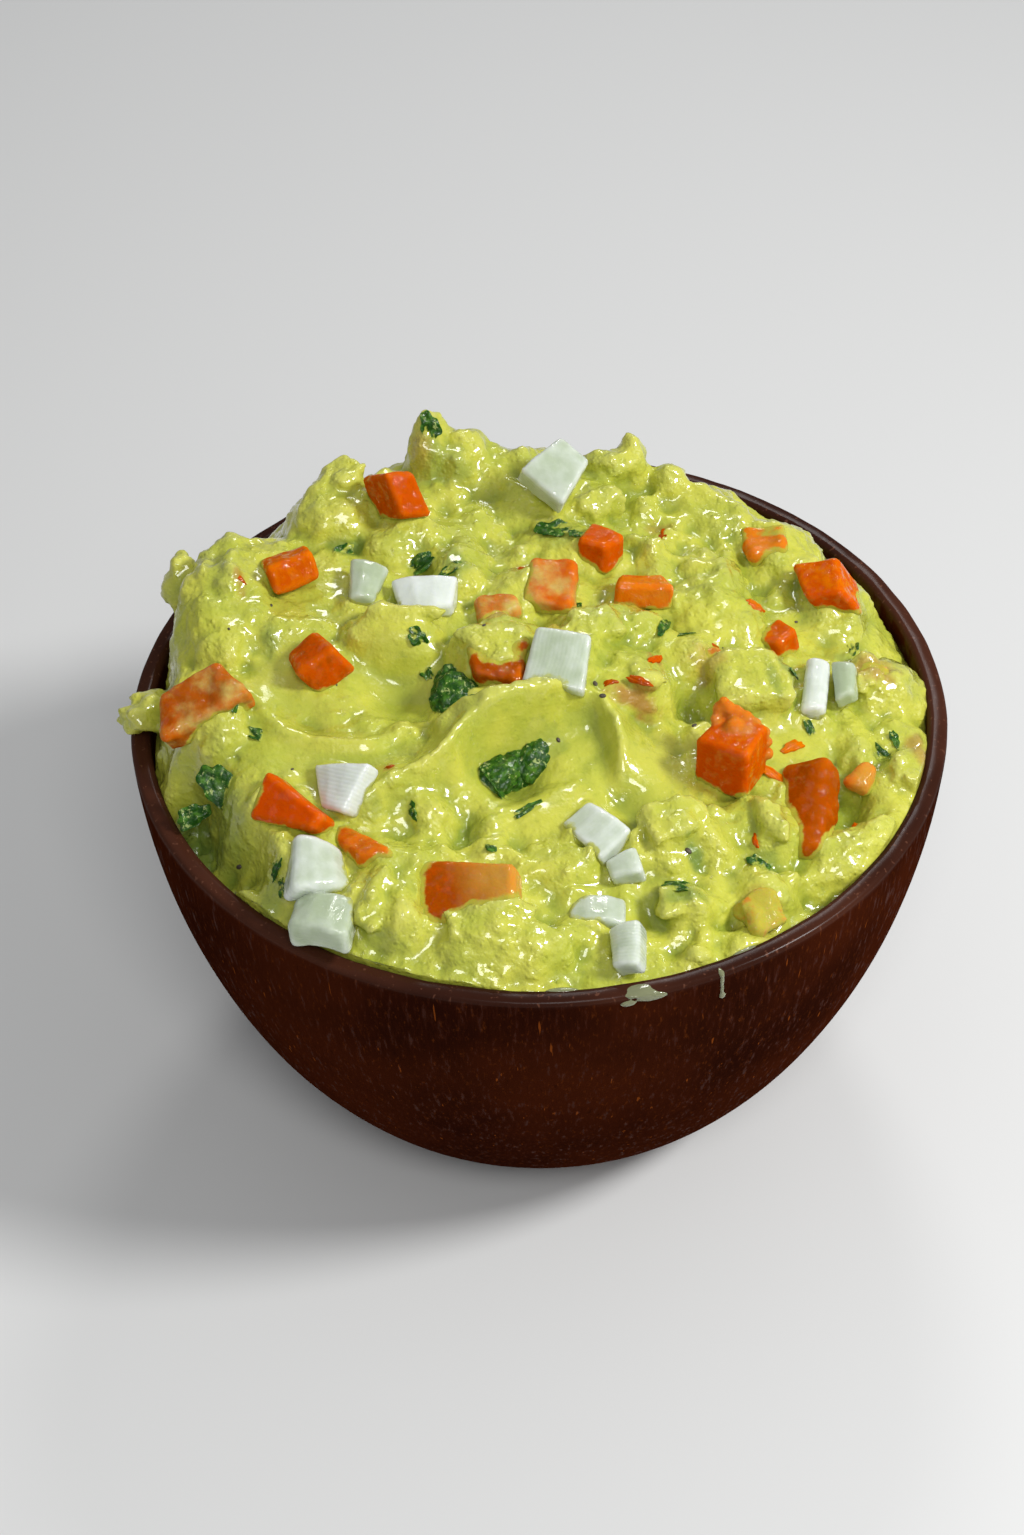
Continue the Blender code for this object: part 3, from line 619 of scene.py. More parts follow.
def guacamole_material(settings):
    paint = Paint(
        "mashed_avocado", Subsurface_Weight=0.22, Subsurface_Radius=(1.0, 0.9, 0.25), Subsurface_Scale=0.0014,
        Coat_Roughness=0.08, IOR=1.4, Specular_IOR_Level=0.3,
    )
    broad = paint.noise(9, 3)
    fine = paint.noise(1.4, 5, 0.6)
    colour = paint.blend(paint.steps(broad, 0.35, 0.65), rgb(*settings.green), rgb(*settings.yellow))
    colour = paint.blend(paint.steps(fine, 0.52, 0.75, 0.0, 0.3), colour, rgb(*settings.pale))
    colour = paint.blend(paint.steps(fine, 0.46, 0.3, 0.0, 0.25), colour, rgb(*settings.hollow_shade))
    # Painted shade: the hollows are mixed towards the darker olive by how far they are sunk.
    colour = paint.blend(paint.steps(paint.value("hollow_shade"), 0.0, 0.6, 0.0, 0.75), colour, rgb(*settings.hollow_shade))
    # Painted highlight: the crests, where the surface stands above the broad form, are mixed towards the pale colour.
    crest = paint.steps(paint.value("hollow_shade"), -0.15, -0.7, 0.0, 0.35)
    colour = paint.blend(crest, colour, rgb(*settings.pale))
    colour = paint.blend(paint.value("herb"), colour, rgb(0.13, 0.22, 0.04))
    colour = paint.blend(paint.value("brown"), colour, rgb(0.36, 0.15, 0.035))
    paint.feed("Base Color", colour)
    spots = paint.noise(3.2, 3)
    wet = paint.sum(spots, paint.value("wet"))
    paint.feed("Roughness", paint.steps(wet, 0.6, 1.1, 0.4, 0.2))
    paint.feed("Coat Weight", paint.steps(wet, 0.6, 0.95, 0.15, 1.0))
    rough = paint.value("rough")
    below = paint.bump(paint.noise(2.0, 3, 0.5), 0.42, rough)
    creases = paint.node("Math", (0, paint.sum(paint.noise(2.4, 2, 0.5), 0.5, "SUBTRACT")), operation="ABSOLUTE")
    below = paint.bump(creases.outputs[0], 0.5, rough, below)
    below = paint.bump(paint.noise(0.6, 4, 0.6), 0.08, 1.0, below)
    drops = paint.steps(paint.cells(1.0), 0.0, 0.45, 1.0, 0.0)
    paint.feed("Normal", paint.bump(drops, 0.11, rough, below))
    return paint.material


def wet_spots(paint, size_mm, below, share=0.5, depth_mm=0.25):
    """Gloss in small wet spots, so that the colour between them stays deep."""
    spots = paint.noise(size_mm, 3, 0.5)
    paint.feed("Coat Weight", paint.steps(spots, share, share + 0.1, 0.1, 1.0))
    normal = paint.bump(spots, depth_mm, 1.0, below)
    normal = paint.bump(paint.noise(0.8, 2, 0.5), 0.05, 1.0, normal)
    paint.feed("Coat Normal", normal)


def filmed(paint, colour, film_colour, size_mm, start=1.1):
    """Mash that clings to a piece near the heap, in uneven patches."""
    film = paint.steps(paint.sum(paint.value("film"), paint.noise(size_mm, 4, 0.6)), start, start + 0.3)
    return paint.blend(film, colour, film_colour)


def tomato_material(settings):
    """From brown through red to orange by the tone of the piece, with amber, skin and a film of mash."""
    paint = Paint(
        "cut_tomato", Subsurface_Weight=0.35, Subsurface_Radius=(1.0, 0.25, 0.02), Subsurface_Scale=0.002,
        Coat_Roughness=0.04, IOR=1.36, Specular_IOR_Level=0.0,
    )
    cloudy = paint.noise(2.2, 4, 0.6)
    uneven = paint.steps(cloudy, 0.3, 0.7, -0.14, 0.14)
    streaks = paint.noise(0.9, 3, 0.5, paint.stretched((1.0, 1.0, 0.3)))
    tone = paint.sum(paint.sum(paint.value("tone"), uneven), paint.steps(streaks, 0.3, 0.7, -0.1, 0.1))
    colour = paint.blend(paint.steps(tone, 0.0, 0.5), rgb(*settings.brown), rgb(*settings.red))
    colour = paint.blend(paint.steps(tone, 0.5, 1.0), colour, rgb(*settings.orange))
    colour = paint.blend(paint.value("amber"), colour, rgb(*settings.amber))
    colour = paint.blend(paint.value("skin"), colour, rgb(*settings.skin))
    # Painted glow: the outward edges are mixed towards a brighter orange, standing in for light shining through the
    # thin flesh.
    colour = paint.blend(paint.steps(paint.value("edge"), 0.05, 0.6, 0.0, 0.4), colour, rgb(0.74, 0.17, 0.003))
    film = paint.steps(paint.sum(paint.value("cream"), paint.noise(4.0, 5, 0.55)), 0.75, 1.2)
    colour = paint.blend(film, colour, rgb(*settings.cream))
    paint.feed("Base Color", filmed(paint, colour, rgb(0.46, 0.40, 0.05), 2.0))
    paint.feed("Roughness", paint.steps(cloudy, 0.3, 0.7, 0.14, 0.3))
    below = paint.bump(paint.noise(0.7, 4, 0.6), 0.05)
    below = paint.bump(cloudy, 0.22, 1.0, below)
    paint.feed("Normal", below)
    wet_spots(paint, 1.4, below, 0.5, 0.34)
    return paint.material


def onion_material(settings):
    paint = Paint(
        "cut_onion", Subsurface_Weight=0.6, Subsurface_Radius=(1.0, 1.0, 0.8), Subsurface_Scale=0.0025,
        Coat_Roughness=0.06, IOR=1.36, Transmission_Weight=0.1, Specular_IOR_Level=0.25,
    )
    turns = paint.sum(paint.value("rib"), 2 * pi / 0.6, "MULTIPLY")
    wave = paint.node("Math", (0, turns), operation="SINE").outputs[0]
    fibre = paint.sum(paint.steps(wave, -1.0, 1.0), paint.value("ribs"), "MULTIPLY")
    broad = paint.steps(paint.noise(2.6, 3), 0.3, 0.7, -0.12, 0.12)
    cells = paint.noise(0.5, 3, 0.6)
    # Painted highlight: the outward edges are made whiter.
    white = paint.sum(paint.sum(paint.value("white"), broad), paint.steps(paint.value("edge"), 0.0, 0.6, 0.0, 0.25))
    colour = paint.blend(paint.steps(white, 0.0, 1.1), rgb(*settings.clear), rgb(*settings.white))
    colour = paint.blend(paint.steps(cells, 0.5, 0.75, 0.0, 0.05), colour, rgb(*settings.clear))
    colour = paint.blend(paint.sum(fibre, 0.22, "MULTIPLY"), colour, rgb(*settings.clear))
    paint.feed("Base Color", filmed(paint, colour, rgb(0.50, 0.52, 0.12), 1.8, 1.22))
    paint.feed("Roughness", paint.steps(cells, 0.3, 0.7, 0.14, 0.26))
    below = paint.bump(fibre, 0.03)
    below = paint.bump(cells, 0.025, 1.0, below)
    paint.feed("Normal", below)
    wet_spots(paint, 2.2, below, 0.4)
    return paint.material


def herb_material(settings):
    paint = Paint(
        "herb_leaf", Subsurface_Weight=0.15, Subsurface_Radius=(0.3, 1.0, 0.2), Subsurface_Scale=0.001,
        Coat_Roughness=0.08, Roughness=0.35, Specular_IOR_Level=0.12,
    )
    cloudy = paint.noise(1.1, 4, 0.6)
    # The lighter green is partly the leaf's own colour and partly painted highlight streaks on the wet leaf.
    colour = paint.blend(paint.steps(cloudy, 0.42, 0.75), rgb(*settings.dark), rgb(*settings.light))
    colour = paint.blend(paint.steps(paint.value("pale"), 0.2, 0.9, 0.0, 0.5), colour, rgb(0.16, 0.26, 0.04))
    # Pale specks on the leaf, which also stand in for painted highlights: the glints of the wet leaf.
    specks = paint.noise(0.75, 3, 0.7)
    colour = paint.blend(paint.steps(specks, 0.58, 0.66, 0.0, 0.8), colour, rgb(0.40, 0.48, 0.16))
    paint.feed("Base Color", filmed(paint, colour, rgb(0.40, 0.44, 0.06), 1.2))
    below = paint.bump(specks, 0.22)
    paint.feed("Normal", below)
    wet_spots(paint, 0.9, below, 0.5)
    return paint.material


def pepper_material():
    paint = Paint("ground_pepper", Roughness=0.5)
    colour = paint.blend(paint.noise(0.5), rgb(0.015, 0.01, 0.007), rgb(0.12, 0.09, 0.06))
    paint.feed("Base Color", colour)
    paint.feed("Normal", paint.bump(paint.noise(0.3, 4), 0.1))
    return paint.material


def juice_material():
    paint = Paint(
        "lime_juice", Base_Color=rgb(0.42, 0.45, 0.24), Roughness=0.08, Transmission_Weight=0.55, IOR=1.34,
        Coat_Weight=0.6, Coat_Roughness=0.03,
    )
    paint.feed("Normal", paint.bump(paint.noise(1.2, 3), 0.1))
    return paint.material


# Pieces.


def dress(obj, material, slot, *nodes):
    """Gives a finished piece its material, its body and the solids that it stands for."""
    obj.data.materials.clear()
    obj.data.materials.append(material)
    obj.data.shade_smooth()
    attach(obj, "root")
    if nodes:
        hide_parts(*nodes)


def solid_of(node):
    """A copy of a node's solid with its loose triangles joined, in millimetres."""
    bm = bmesh.new()
    bm.from_mesh(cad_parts[node].data)
    bm.transform(Matrix.Scale(1 / MM, 4))
    bmesh.ops.remove_doubles(bm, verts=bm.verts, dist=0.001)
    bmesh.ops.recalc_face_normals(bm, faces=bm.faces)
    return bm


def sides_of(bm):
    """The flat sides of a cut piece as (normal, distance, area), the largest first."""
    sides = []
    for face in bm.faces:
        for side in sides:
            if side[0].dot(face.normal) > 0.995 and abs(side[1] - face.normal.dot(face.verts[0].co)) < 0.1:
                side[2] += face.calc_area()
                break
        else:
            sides.append([face.normal.copy(), face.normal.dot(face.verts[0].co), face.calc_area()])
    return sorted(sides, key=lambda side: -side[2])[:6]


def side_facing(sides, direction):
    return max(sides, key=lambda side: side[0].dot(Vector(direction)))


def cut_surface(name, bm, voxel, rounding, wobble, seed):
    """A cut piece with rounded edges and uneven sides, as an object."""
    obj = new_piece(name, bm)
    remesh(obj, voxel)
    mesh = obj.data
    points = evened(mesh, points_of(mesh), rounding)
    move_points(mesh, points)
    normals = normals_of(mesh)
    push = wobble * noise_at(points, 3.8, seed) + 0.35 * wobble * noise_at(points, 1.5, seed + 7) + 0.007 * rounding
    move_points(mesh, points + normals * push[:, None])
    return obj


# Pieces that mash clings to all over, and how much.
COATED = {
    "tomato_09": 0.28, "tomato_10": 0.36, "tomato_16": 0.5, "tomato_17": 0.56, "tomato_18": 0.9, "tomato_20": 0.55,
    "tomato_21": 0.5,
}


def store_contact(mesh, points, heap, least=0.0):
    """Stores how near the heap each point is, and how far it lies on an outward edge, which the materials light up with
    painted glow and highlight.
    """
    away = np.array([heap.find_nearest(point, 3.0)[3] or 0.0 for point in points.tolist()])
    far = np.array([heap.find_nearest(point, 3.0)[3] is None for point in points.tolist()])
    near = 1 - ramp(np.where(far, 3.0, away) / 2.0)
    store(mesh, "film", np.maximum(near, least) * (points[:, 2] > RIM_LEVEL - 10))
    outward = np.einsum("ij,ij->i", points - evened(mesh, points, 30), normals_of(mesh))
    store(mesh, "edge", np.clip(outward / 0.6, 0, 1))


# How each tomato piece looks: the way its skin faces, its tone from brown (0) through red to orange (1), and how
# amber and how creamy it is.
TOMATO_LOOKS = {
    "tomato_01": ((-0.8, -0.5, 0.3), 0.50, 0.0, 0.0),
    "tomato_02": ((0, 0, -1), 0.70, 0.0, 0.0),
    "tomato_03": ((0.7, -0.6, -0.2), 0.35, 0.0, 0.0),
    "tomato_04": ((-0.5, -0.7, 0.3), 0.50, 0.0, 0.0),
    "tomato_05": ((0.2, -0.9, 0.2), 0.75, 0.15, 0.0),
    "tomato_06": ((-1, -0.2, 0), 0.12, 0.5, 0.0),
    "tomato_07": ((-0.4, -0.8, 0.3), 0.50, 0.0, 0.1),
    "tomato_08": ((0, 0.6, -0.6), 0.85, 0.1, 0.0),
    "tomato_09": ((-0.5, 0.3, -0.6), 0.60, 0.1, 0.40),
    "tomato_10": ((-0.3, -0.8, 0.2), -0.15, 0.0, 0.18),
    "tomato_11": ((0, 0, -1), 0.95, 0.25, 0.0),
    "tomato_12": ((0.4, -0.8, 0.3), 0.70, 0.0, 0.0),
    "tomato_13": ((-0.5, -0.5, -0.5), 0.60, 0.0, 0.0),
    "tomato_14": ((-0.5, -0.85, 0), 0.62, 0.0, 0.0),
    "tomato_15": ((0.8, -0.3, -0.3), -0.05, 0.0, 0.0),
    "tomato_16": ((0.3, -0.6, 0.2), 0.0, 0.1, 0.36),
    "tomato_17": ((0, 0, -1), 0.20, 0.3, 0.42),
    "tomato_18": ((0.7, -0.6, 0), 0.50, 0.3, 0.45),
    "tomato_19": ((0.5, -0.5, 0.5), 0.80, 0.9, 0.1),
    "tomato_20": ((0.5, -0.5, 0.5), -0.10, 0.2, 0.42),
    "tomato_21": ((0.5, -0.5, 0.5), 0.10, 0.2, 0.36),
}
SKINNED = ("tomato_04", "tomato_12", "tomato_14")

# Rounds of smoothing of the softer pieces. The others are crisp.
ROUNDINGS = {
    "tomato_05": 6, "tomato_09": 8, "tomato_10": 8, "tomato_11": 8, "tomato_15": 90, "tomato_16": 6,
    "tomato_17": 30, "tomato_18": 8, "tomato_19": 10, "tomato_20": 30, "tomato_21": 30,
}

# Soft pulp that stands out of the cut top and the far side of one piece: offset from its middle and radius.
PULPY = "tomato_14"
PULP = (
    (-1.6, 4.2, 5.4, 1.3), (-0.6, 3.9, 5.9, 1.1), (-1.2, 4.4, 6.9, 0.7), (0.6, 3.9, 5.0, 1.2), (2.0, 3.2, 4.6, 1.1),
    (-2.4, 3.0, 4.6, 0.9), (3.4, 2.4, 4.1, 1.0), (4.6, 1.6, 3.2, 1.0), (5.1, 1.2, 1.6, 0.8), (5.2, 0.8, -0.4, 0.9),
    (0.2, 1.4, 4.2, 1.6), (1.8, 0.4, 3.6, 1.6),
)


def build_tomato(node, voxel, material, number, heap):
    bm = solid_of(node)
    skin_way, tone, amber, cream = TOMATO_LOOKS[node]
    normal, distance, _area = side_facing(sides_of(bm), skin_way)
    middle = sum((v.co for v in bm.verts), Vector()) / len(bm.verts)
    blobs = [(middle + Vector(offset), radius) for *offset, radius in PULP] if node == PULPY else []
    for spot, radius in blobs:
        bmesh.ops.create_icosphere(bm, subdivisions=3, radius=radius, matrix=Matrix.Translation(spot))
    wobble = 0.2 if node not in ROUNDINGS else 1.3 if COATED.get(node, 0) > 0.8 else 0.6
    obj = cut_surface("cut_" + node, bm, voxel, ROUNDINGS.get(node, 2), wobble, 17.0 * number)
    mesh = obj.data
    points = points_of(mesh)
    below = distance - points @ np.array(normal)
    store(mesh, "skin", (1 - ramp((below - 0.5) / 0.5)) * (node in SKINNED))
    away = points - np.array(middle)
    uneven = noise_at(points, 5.0, 3.0 * number)
    store(mesh, "tone", tone + 0.1 * uneven)
    pulp = np.zeros(len(points))
    for spot, radius in blobs:
        pulp = np.maximum(pulp, 1 - ramp((np.linalg.norm(points - np.array(spot), axis=1) / radius - 0.8) / 0.7))
    store(mesh, "amber", np.clip(amber * (1 + uneven + 0.2 * away[:, 0]) + 0.55 * pulp, 0, 1))
    store(mesh, "cream", np.full(len(points), cream))
    store_contact(mesh, points, heap, COATED.get(node, 0))
    dress(obj, material, "tomato", node)
    return obj


# How white each onion piece is, from glassy (0) to white (1), and how clear its ribs are. Onion_05 is pushed past white
# as painted light, making up for the shade it lies in.
ONION_LOOKS = {
    "onion_01": (0.45, 0.6), "onion_02": (0.15, 0.0), "onion_03": (0.9, 0.0), "onion_04": (0.4, 0.4),
    "onion_05": (1.4, 0.5), "onion_06": (0.5, 0.4), "onion_07": (0.15, 0.4), "onion_08": (0.6, 0.2),
    "onion_09": (0.45, 0.1), "onion_10": (0.35, 0.1), "onion_11": (0.5, 0.7), "onion_12": (0.75, 0.2),
    "onion_13": (0.0, 0.0),
}


# Rounds of smoothing of the two pieces that lie end to end, which also swell to meet.
SOFT_ONIONS = {"onion_06": 5, "onion_07": 5}


def reach_towards(bm, other):
    """Draws a piece out to the middle of the gap between it and another one."""
    near, far = ([v.co.copy() for v in mesh.verts] for mesh in (bm, other))
    middle_near, middle_far = (sum(spots, Vector()) / len(spots) for spots in (near, far))
    near = sorted(near, key=lambda spot: (spot - middle_far).length)[:4]
    far = sorted(far, key=lambda spot: (spot - middle_near).length)[:4]
    for spot in far:
        partner = min(near, key=lambda other_spot: (other_spot - spot).length)
        near.append(spot.lerp(partner, 0.2))
    hull = bmesh.new()
    for spot in near:
        hull.verts.new(spot)
    bmesh.ops.convex_hull(hull, input=hull.verts)
    bmesh.ops.recalc_face_normals(hull, faces=hull.faces)
    merge_into(bm, hull, Matrix.Identity(4))


def build_onion(node, voxel, material, number, heap):
    bm = solid_of(node)
    sides = sides_of(bm)
    across = sides[-1][0].copy()
    white, ribs = ONION_LOOKS[node]
    for other in SOFT_ONIONS:
        if node in SOFT_ONIONS and other != node:
            reach_towards(bm, solid_of(other))
    obj = cut_surface("cut_" + node, bm, voxel, SOFT_ONIONS.get(node, 1), 0.15, 23.0 * number)
    mesh = obj.data
    points = points_of(mesh)
    points += normals_of(mesh) * (0.3 if node in SOFT_ONIONS else 0)
    move_points(mesh, points)
    store(mesh, "rib", points @ np.array(across) + 0.3 * noise_at(points, 4.0, number))
    store(mesh, "ribs", np.full(len(points), ribs))
    store(mesh, "white", white + 0.1 * noise_at(points, 3.0, 5.0 + number))
    store_contact(mesh, points, heap)
    dress(obj, material, "onion", node)
    return obj


def leaf(length, width, curl, seed, thickness=0.3):
    """A crinkled bit of leaf along Y with an uneven outline, as a closed mesh."""
    bm = bmesh.new()
    bmesh.ops.create_icosphere(bm, subdivisions=4, radius=1)
    for vertex in bm.verts:
        x, y, z = vertex.co
        around = Vector((x, y)).angle_signed(Vector((1, 0)), 0)
        outline = 1 + 0.13 * sin(3 * around + seed) + 0.08 * sin(7 * around + 2 * seed)
        crinkle = 0.30 * noise.noise((x * 1.7 + seed, y * 2.0, seed)) + 0.12 * noise.noise((x * 4, y * 4, seed))
        bend = curl * (0.5 * x * x - 0.4 * y * y)
        vertex.co = (
            x * outline * width / 2, y * outline * length / 2, z * thickness / 2 + (crinkle + bend) * width / 2
        )
    return bm


def wad(halves, seed):
    """A crumpled wet lump of leaf, as a closed mesh."""
    bm = bmesh.new()
    bmesh.ops.create_icosphere(bm, subdivisions=5, radius=1)
    for vertex in bm.verts:
        spot = Vector([part * half for part, half in zip(vertex.co, halves)])
        fold = abs(noise.noise(spot * 0.55 + Vector((seed, 0, 0))))
        crumple = abs(noise.noise(spot * 1.25 + Vector((0, seed, 0))))
        vertex.co = spot * (0.92 + 0.2 * fold) + vertex.co * (0.3 * crumple - 0.05)
    return bm


def merge_into(target, source, matrix):
    """Adds a bmesh to another at a place."""
    mesh = bpy.data.meshes.new("part")
    source.transform(matrix)
    source.to_mesh(mesh)
    source.free()
    target.from_mesh(mesh)
    bpy.data.meshes.remove(mesh)


def surface_of(obj):
    """Finds where the object's top is, in millimetres."""
    bm = bmesh.new()
    bm.from_mesh(obj.data)
    bm.transform(Matrix.Scale(1 / MM, 4))
    tree = BVHTree.FromBMesh(bm)
    bm.free()
    return tree


def lying_on(tree, x, y, turn, lift, tilt=(0, 0)):
    """A place on the heap at x and y, square to its surface, raised by lift."""
    spot, normal, _, _ = tree.ray_cast(Vector((x, y, RIM_LEVEL + 60)), Vector((0, 0, -1)))
    if spot is None:
        raise RuntimeError(f"nothing to lie on at {x}, {y}")
    stand = normal.to_track_quat("Z", "Y").to_matrix().to_4x4()
    lean = Euler((radians(tilt[0]), radians(tilt[1]), radians(turn))).to_matrix().to_4x4()
    return Matrix.Translation(spot + normal * lift) @ stand @ lean


def leaning(spot, lean, turn):
    """A place that leans forwards, with its own turn."""
    return Matrix.Translation(spot) @ Matrix.Rotation(radians(lean), 4, "X") @ Matrix.Rotation(radians(turn), 4, "Z")


# Leaves: x, y, length, width, turn, lift, tilt about X and Y, curl.
LEAVES = (
    (-7.0, -24.8, 8.0, 3.2, -58, 0.7, 8, 0, 0.4), (-9.6, -13.4, 5.0, 3.4, 60, 0.5, 10, 6, 0.5),
    (-2.2, -30.0, 5.0, 1.4, 15, 0.2, 0, 0, 0.3), (-18.5, -31.5, 3.0, 1.4, 50, 0.1, 0, 0, 0.3),
    (-7.5, -38.0, 2.2, 1.4, 20, 0.1, 0, 0, 0.3), (-42.0, -17.5, 4.2, 1.9, 60, 0.1, 0, 0, 0.6),
    (-44.5, -15.0, 2.8, 1.4, 10, 0.1, 0, 0, 0.4), (-37.6, -41.0, 3.6, 2.0, 20, 0.2, 0, 0, 0.3),
    (-37.0, -43.0, 3.6, 2.2, 10, 0.0, 0, 0, 0.3),
    (-16.2, 40.8, 4.8, 3.2, 10, 0.1, 0, 0, 0.3), (-29.0, 21.0, 5.0, 2.4, 70, 0.0, 0, 0, 0.3),
    (-18.0, 17.0, 6.4, 3.0, -20, 0.2, 0, 0, 0.5), (-13.0, 13.0, 4.2, 2.4, 40, 0.0, 0, 0, 0.3),
    (5.0, 8.5, 4.0, 1.6, -30, 0.1, 0, 0, 0.5), (-18.0, -1.5, 3.4, 2.6, 30, 0.1, 0, 0, 0.4),
    (-16.6, -4.4, 3.0, 1.8, 60, 0.1, 0, 0, 0.4), (19.0, 4.0, 4.8, 1.6, 70, 0.1, 0, 0, 0.5),
    (22.0, 3.0, 3.8, 1.4, 85, 0.1, 0, 0, 0.5), (28.5, -12.0, 3.4, 2.0, 60, 0.1, 0, 0, 0.4),
    (38.0, -5.0, 3.2, 1.5, 10, 0.1, 0, 0, 0.4), (40.0, -10.0, 4.0, 1.5, -10, 0.1, 0, 0, 0.5),
    (51.0, -13.0, 4.6, 1.8, 50, 0.1, 0, 0, 0.5), (53.0, -11.0, 3.0, 1.4, -20, 0.1, 0, 0, 0.5),
    (31.0, -37.0, 4.0, 2.6, 0, 0.0, 0, 0, 0.3), (19.0, -44.0, 5.6, 2.8, 80, 0.1, 0, 0, 0.3),
    (3.0, 25.0, 6.0, 3.4, 60, 0.1, 0, 0, 0.3), (6.5, 23.0, 3.6, 2.4, 0, 0.1, 0, 0, 0.3),
    (12.0, -33.5, 2.8, 1.8, 60, 0.1, 0, 0, 0.4), (48.5, 8.0, 3.8, 1.8, 30, 0.0, 0, 0, 0.4),
)

# Wet crumpled wads of leaf that lean forwards: x, y, height of the middle above the mash, half sizes, turn.
WADS = (
    (-12.2, -11.0, -0.2, (4.0, 5.2, 2.2), 20), (-12.8, -7.0, -0.4, (3.0, 3.4, 2.0), -20),
    (-9.6, -13.8, -0.5, (2.6, 2.6, 1.6), 0), (-7.2, -23.0, 0.0, (3.0, 5.0, 2.2), -52),
    (-4.2, -20.2, -0.1, (3.4, 3.6, 2.2), 10), (-1.4, -19.6, -0.2, (2.7, 4.2, 2.0), -24),
)

# Leaves that stand on edge in the gap by the wall and face forwards: x, y, height above the rim, length, width, turn.
STANDING_LEAVES = (
    (-47.2, -24.2, 6.8, 6.4, 4.8, 25), (-50.8, -26.2, 2.4, 5.4, 3.2, -62), (-44.4, -15.6, 8.6, 3.4, 1.8, 20),
)

# Bits of tomato: x, y, length, width, turn, lift, and the tone from brown to orange.
SLIVERS = (
    (-22.0, -25.5, 2.2, 0.9, 10, 0.0, 0.2), (-2.0, 16.4, 4.2, 2.4, 20, 0.0, 0.0), (17.4, -4.4, 5.0, 1.3, 28, 0.3, 0.4),
    (14.6, -11.2, 4.0, 1.2, 85, 0.2, 0.2), (10.4, -10.8, 2.4, 1.1, 60, 0.1, 0.1), (33.5, 11.0, 3.4, 1.6, 10, 0.1, 0.8),
    (40.6, -31.6, 6.0, 1.0, -50, 0.4, 0.3), (45.4, -28.8, 3.2, 0.8, -30, 0.3, 0.4),
    (34.2, -20.0, 6.4, 1.6, 12, 0.4, 0.9), (37.4, -14.2, 4.0, 1.8, 75, 0.5, 0.9), (30.4, -34.0, 2.6, 0.9, 70, 0.1, 0.5),
    (-44.6, 9.0, 3.0, 0.8, 10, 0.0, 0.3), (20.0, 28.0, 2.8, 1.6, 10, 0.0, 0.1), (26.6, 1.6, 3.0, 1.4, 60, 0.1, 0.2),
)

# Pepper and dark specks: x, y, size.
SPECKS = (
    (8.2, -10.6, 0.9), (9.2, -13.6, 0.9), (22.8, -13.0, 0.8), (-44.0, -33.0, 0.9), (2.6, -17.4, 0.7),
    (-8.0, -1.6, 0.6), (-30.0, -8.0, 0.4), (-36.0, -24.0, 0.45), (20.6, -37.4, 1.0), (-12.0, -44.0, 0.4),
    (28.0, 2.0, 0.5), (-40.0, 6.0, 0.5), (6.0, 16.0, 0.5), (40.0, 12.0, 0.5), (-46.0, 0.0, 0.45),
)


# Juice on the rim and the wall below it: degrees from +X, height above the foot, distance out from the wall, and
# half sizes outwards, along the rim and upwards.
DRIPS = (
    (-66.8, 69.5, -0.8, (1.1, 0.6, 0.45)), (-66.8, 68.4, -0.05, (0.3, 0.4, 1.6)), (-66.7, 66.6, -0.05, (0.3, 0.35, 1.5)),
    (-66.6, 65.2, -0.05, (0.4, 0.6, 0.7)), (-78.0, 69.6, -1.1, (1.4, 2.8, 0.45)), (-76.4, 68.9, -0.15, (0.4, 2.4, 0.8)),
    (-79.6, 68.4, -0.15, (0.35, 1.3, 0.7)), (-88.0, 69.5, -2.7, (0.6, 2.4, 0.4)), (-62.0, 69.5, -2.6, (0.6, 2.2, 0.4)),
)


# Settings that a user may change.


def colour_setting(name, description, default):
    return FloatVectorProperty(
        name=name, description=description, default=default, size=3, min=0, max=1, subtype="COLOR"
    )


class WoodSettings(bpy.types.PropertyGroup):
    dark: colour_setting("Dark wood", "Colour of the darkest grain", (0.0135, 0.0032, 0.0018))
    red: colour_setting("Red wood", "Colour of the redder grain", (0.052, 0.0100, 0.0031))
    fleck: colour_setting("Flecks", "Colour of the open pores where the stain has worn", (0.22, 0.052, 0.008))
    segments: IntProperty(name="Segments", description="Faces round the bowl", default=256, min=64, max=512)


class MashSettings(bpy.types.PropertyGroup):
    green: colour_setting("Green", "Mash with more of the avocado's green", (0.45, 0.485, 0.054))
    yellow: colour_setting("Yellow", "Mash with more of the avocado's yellow", (0.56, 0.56, 0.068))
    # Pale serves for the creamier streaks and also for the painted highlight on the crests.
    pale: colour_setting("Pale", "Creamier streaks", (0.67, 0.65, 0.17))
    # The colour of the painted shade in the hollows, also used for darker olive mottling.
    hollow_shade: colour_setting("Hollows", "Mash in the hollows", (0.20, 0.26, 0.022))
    voxel: FloatProperty(
        name="Face size", description="Width of the mash's faces, in millimetres", default=0.6, min=0.3, max=2
    )
    relief: FloatProperty(name="Relief", description="Height of the small relief", default=1.0, min=0, max=3)


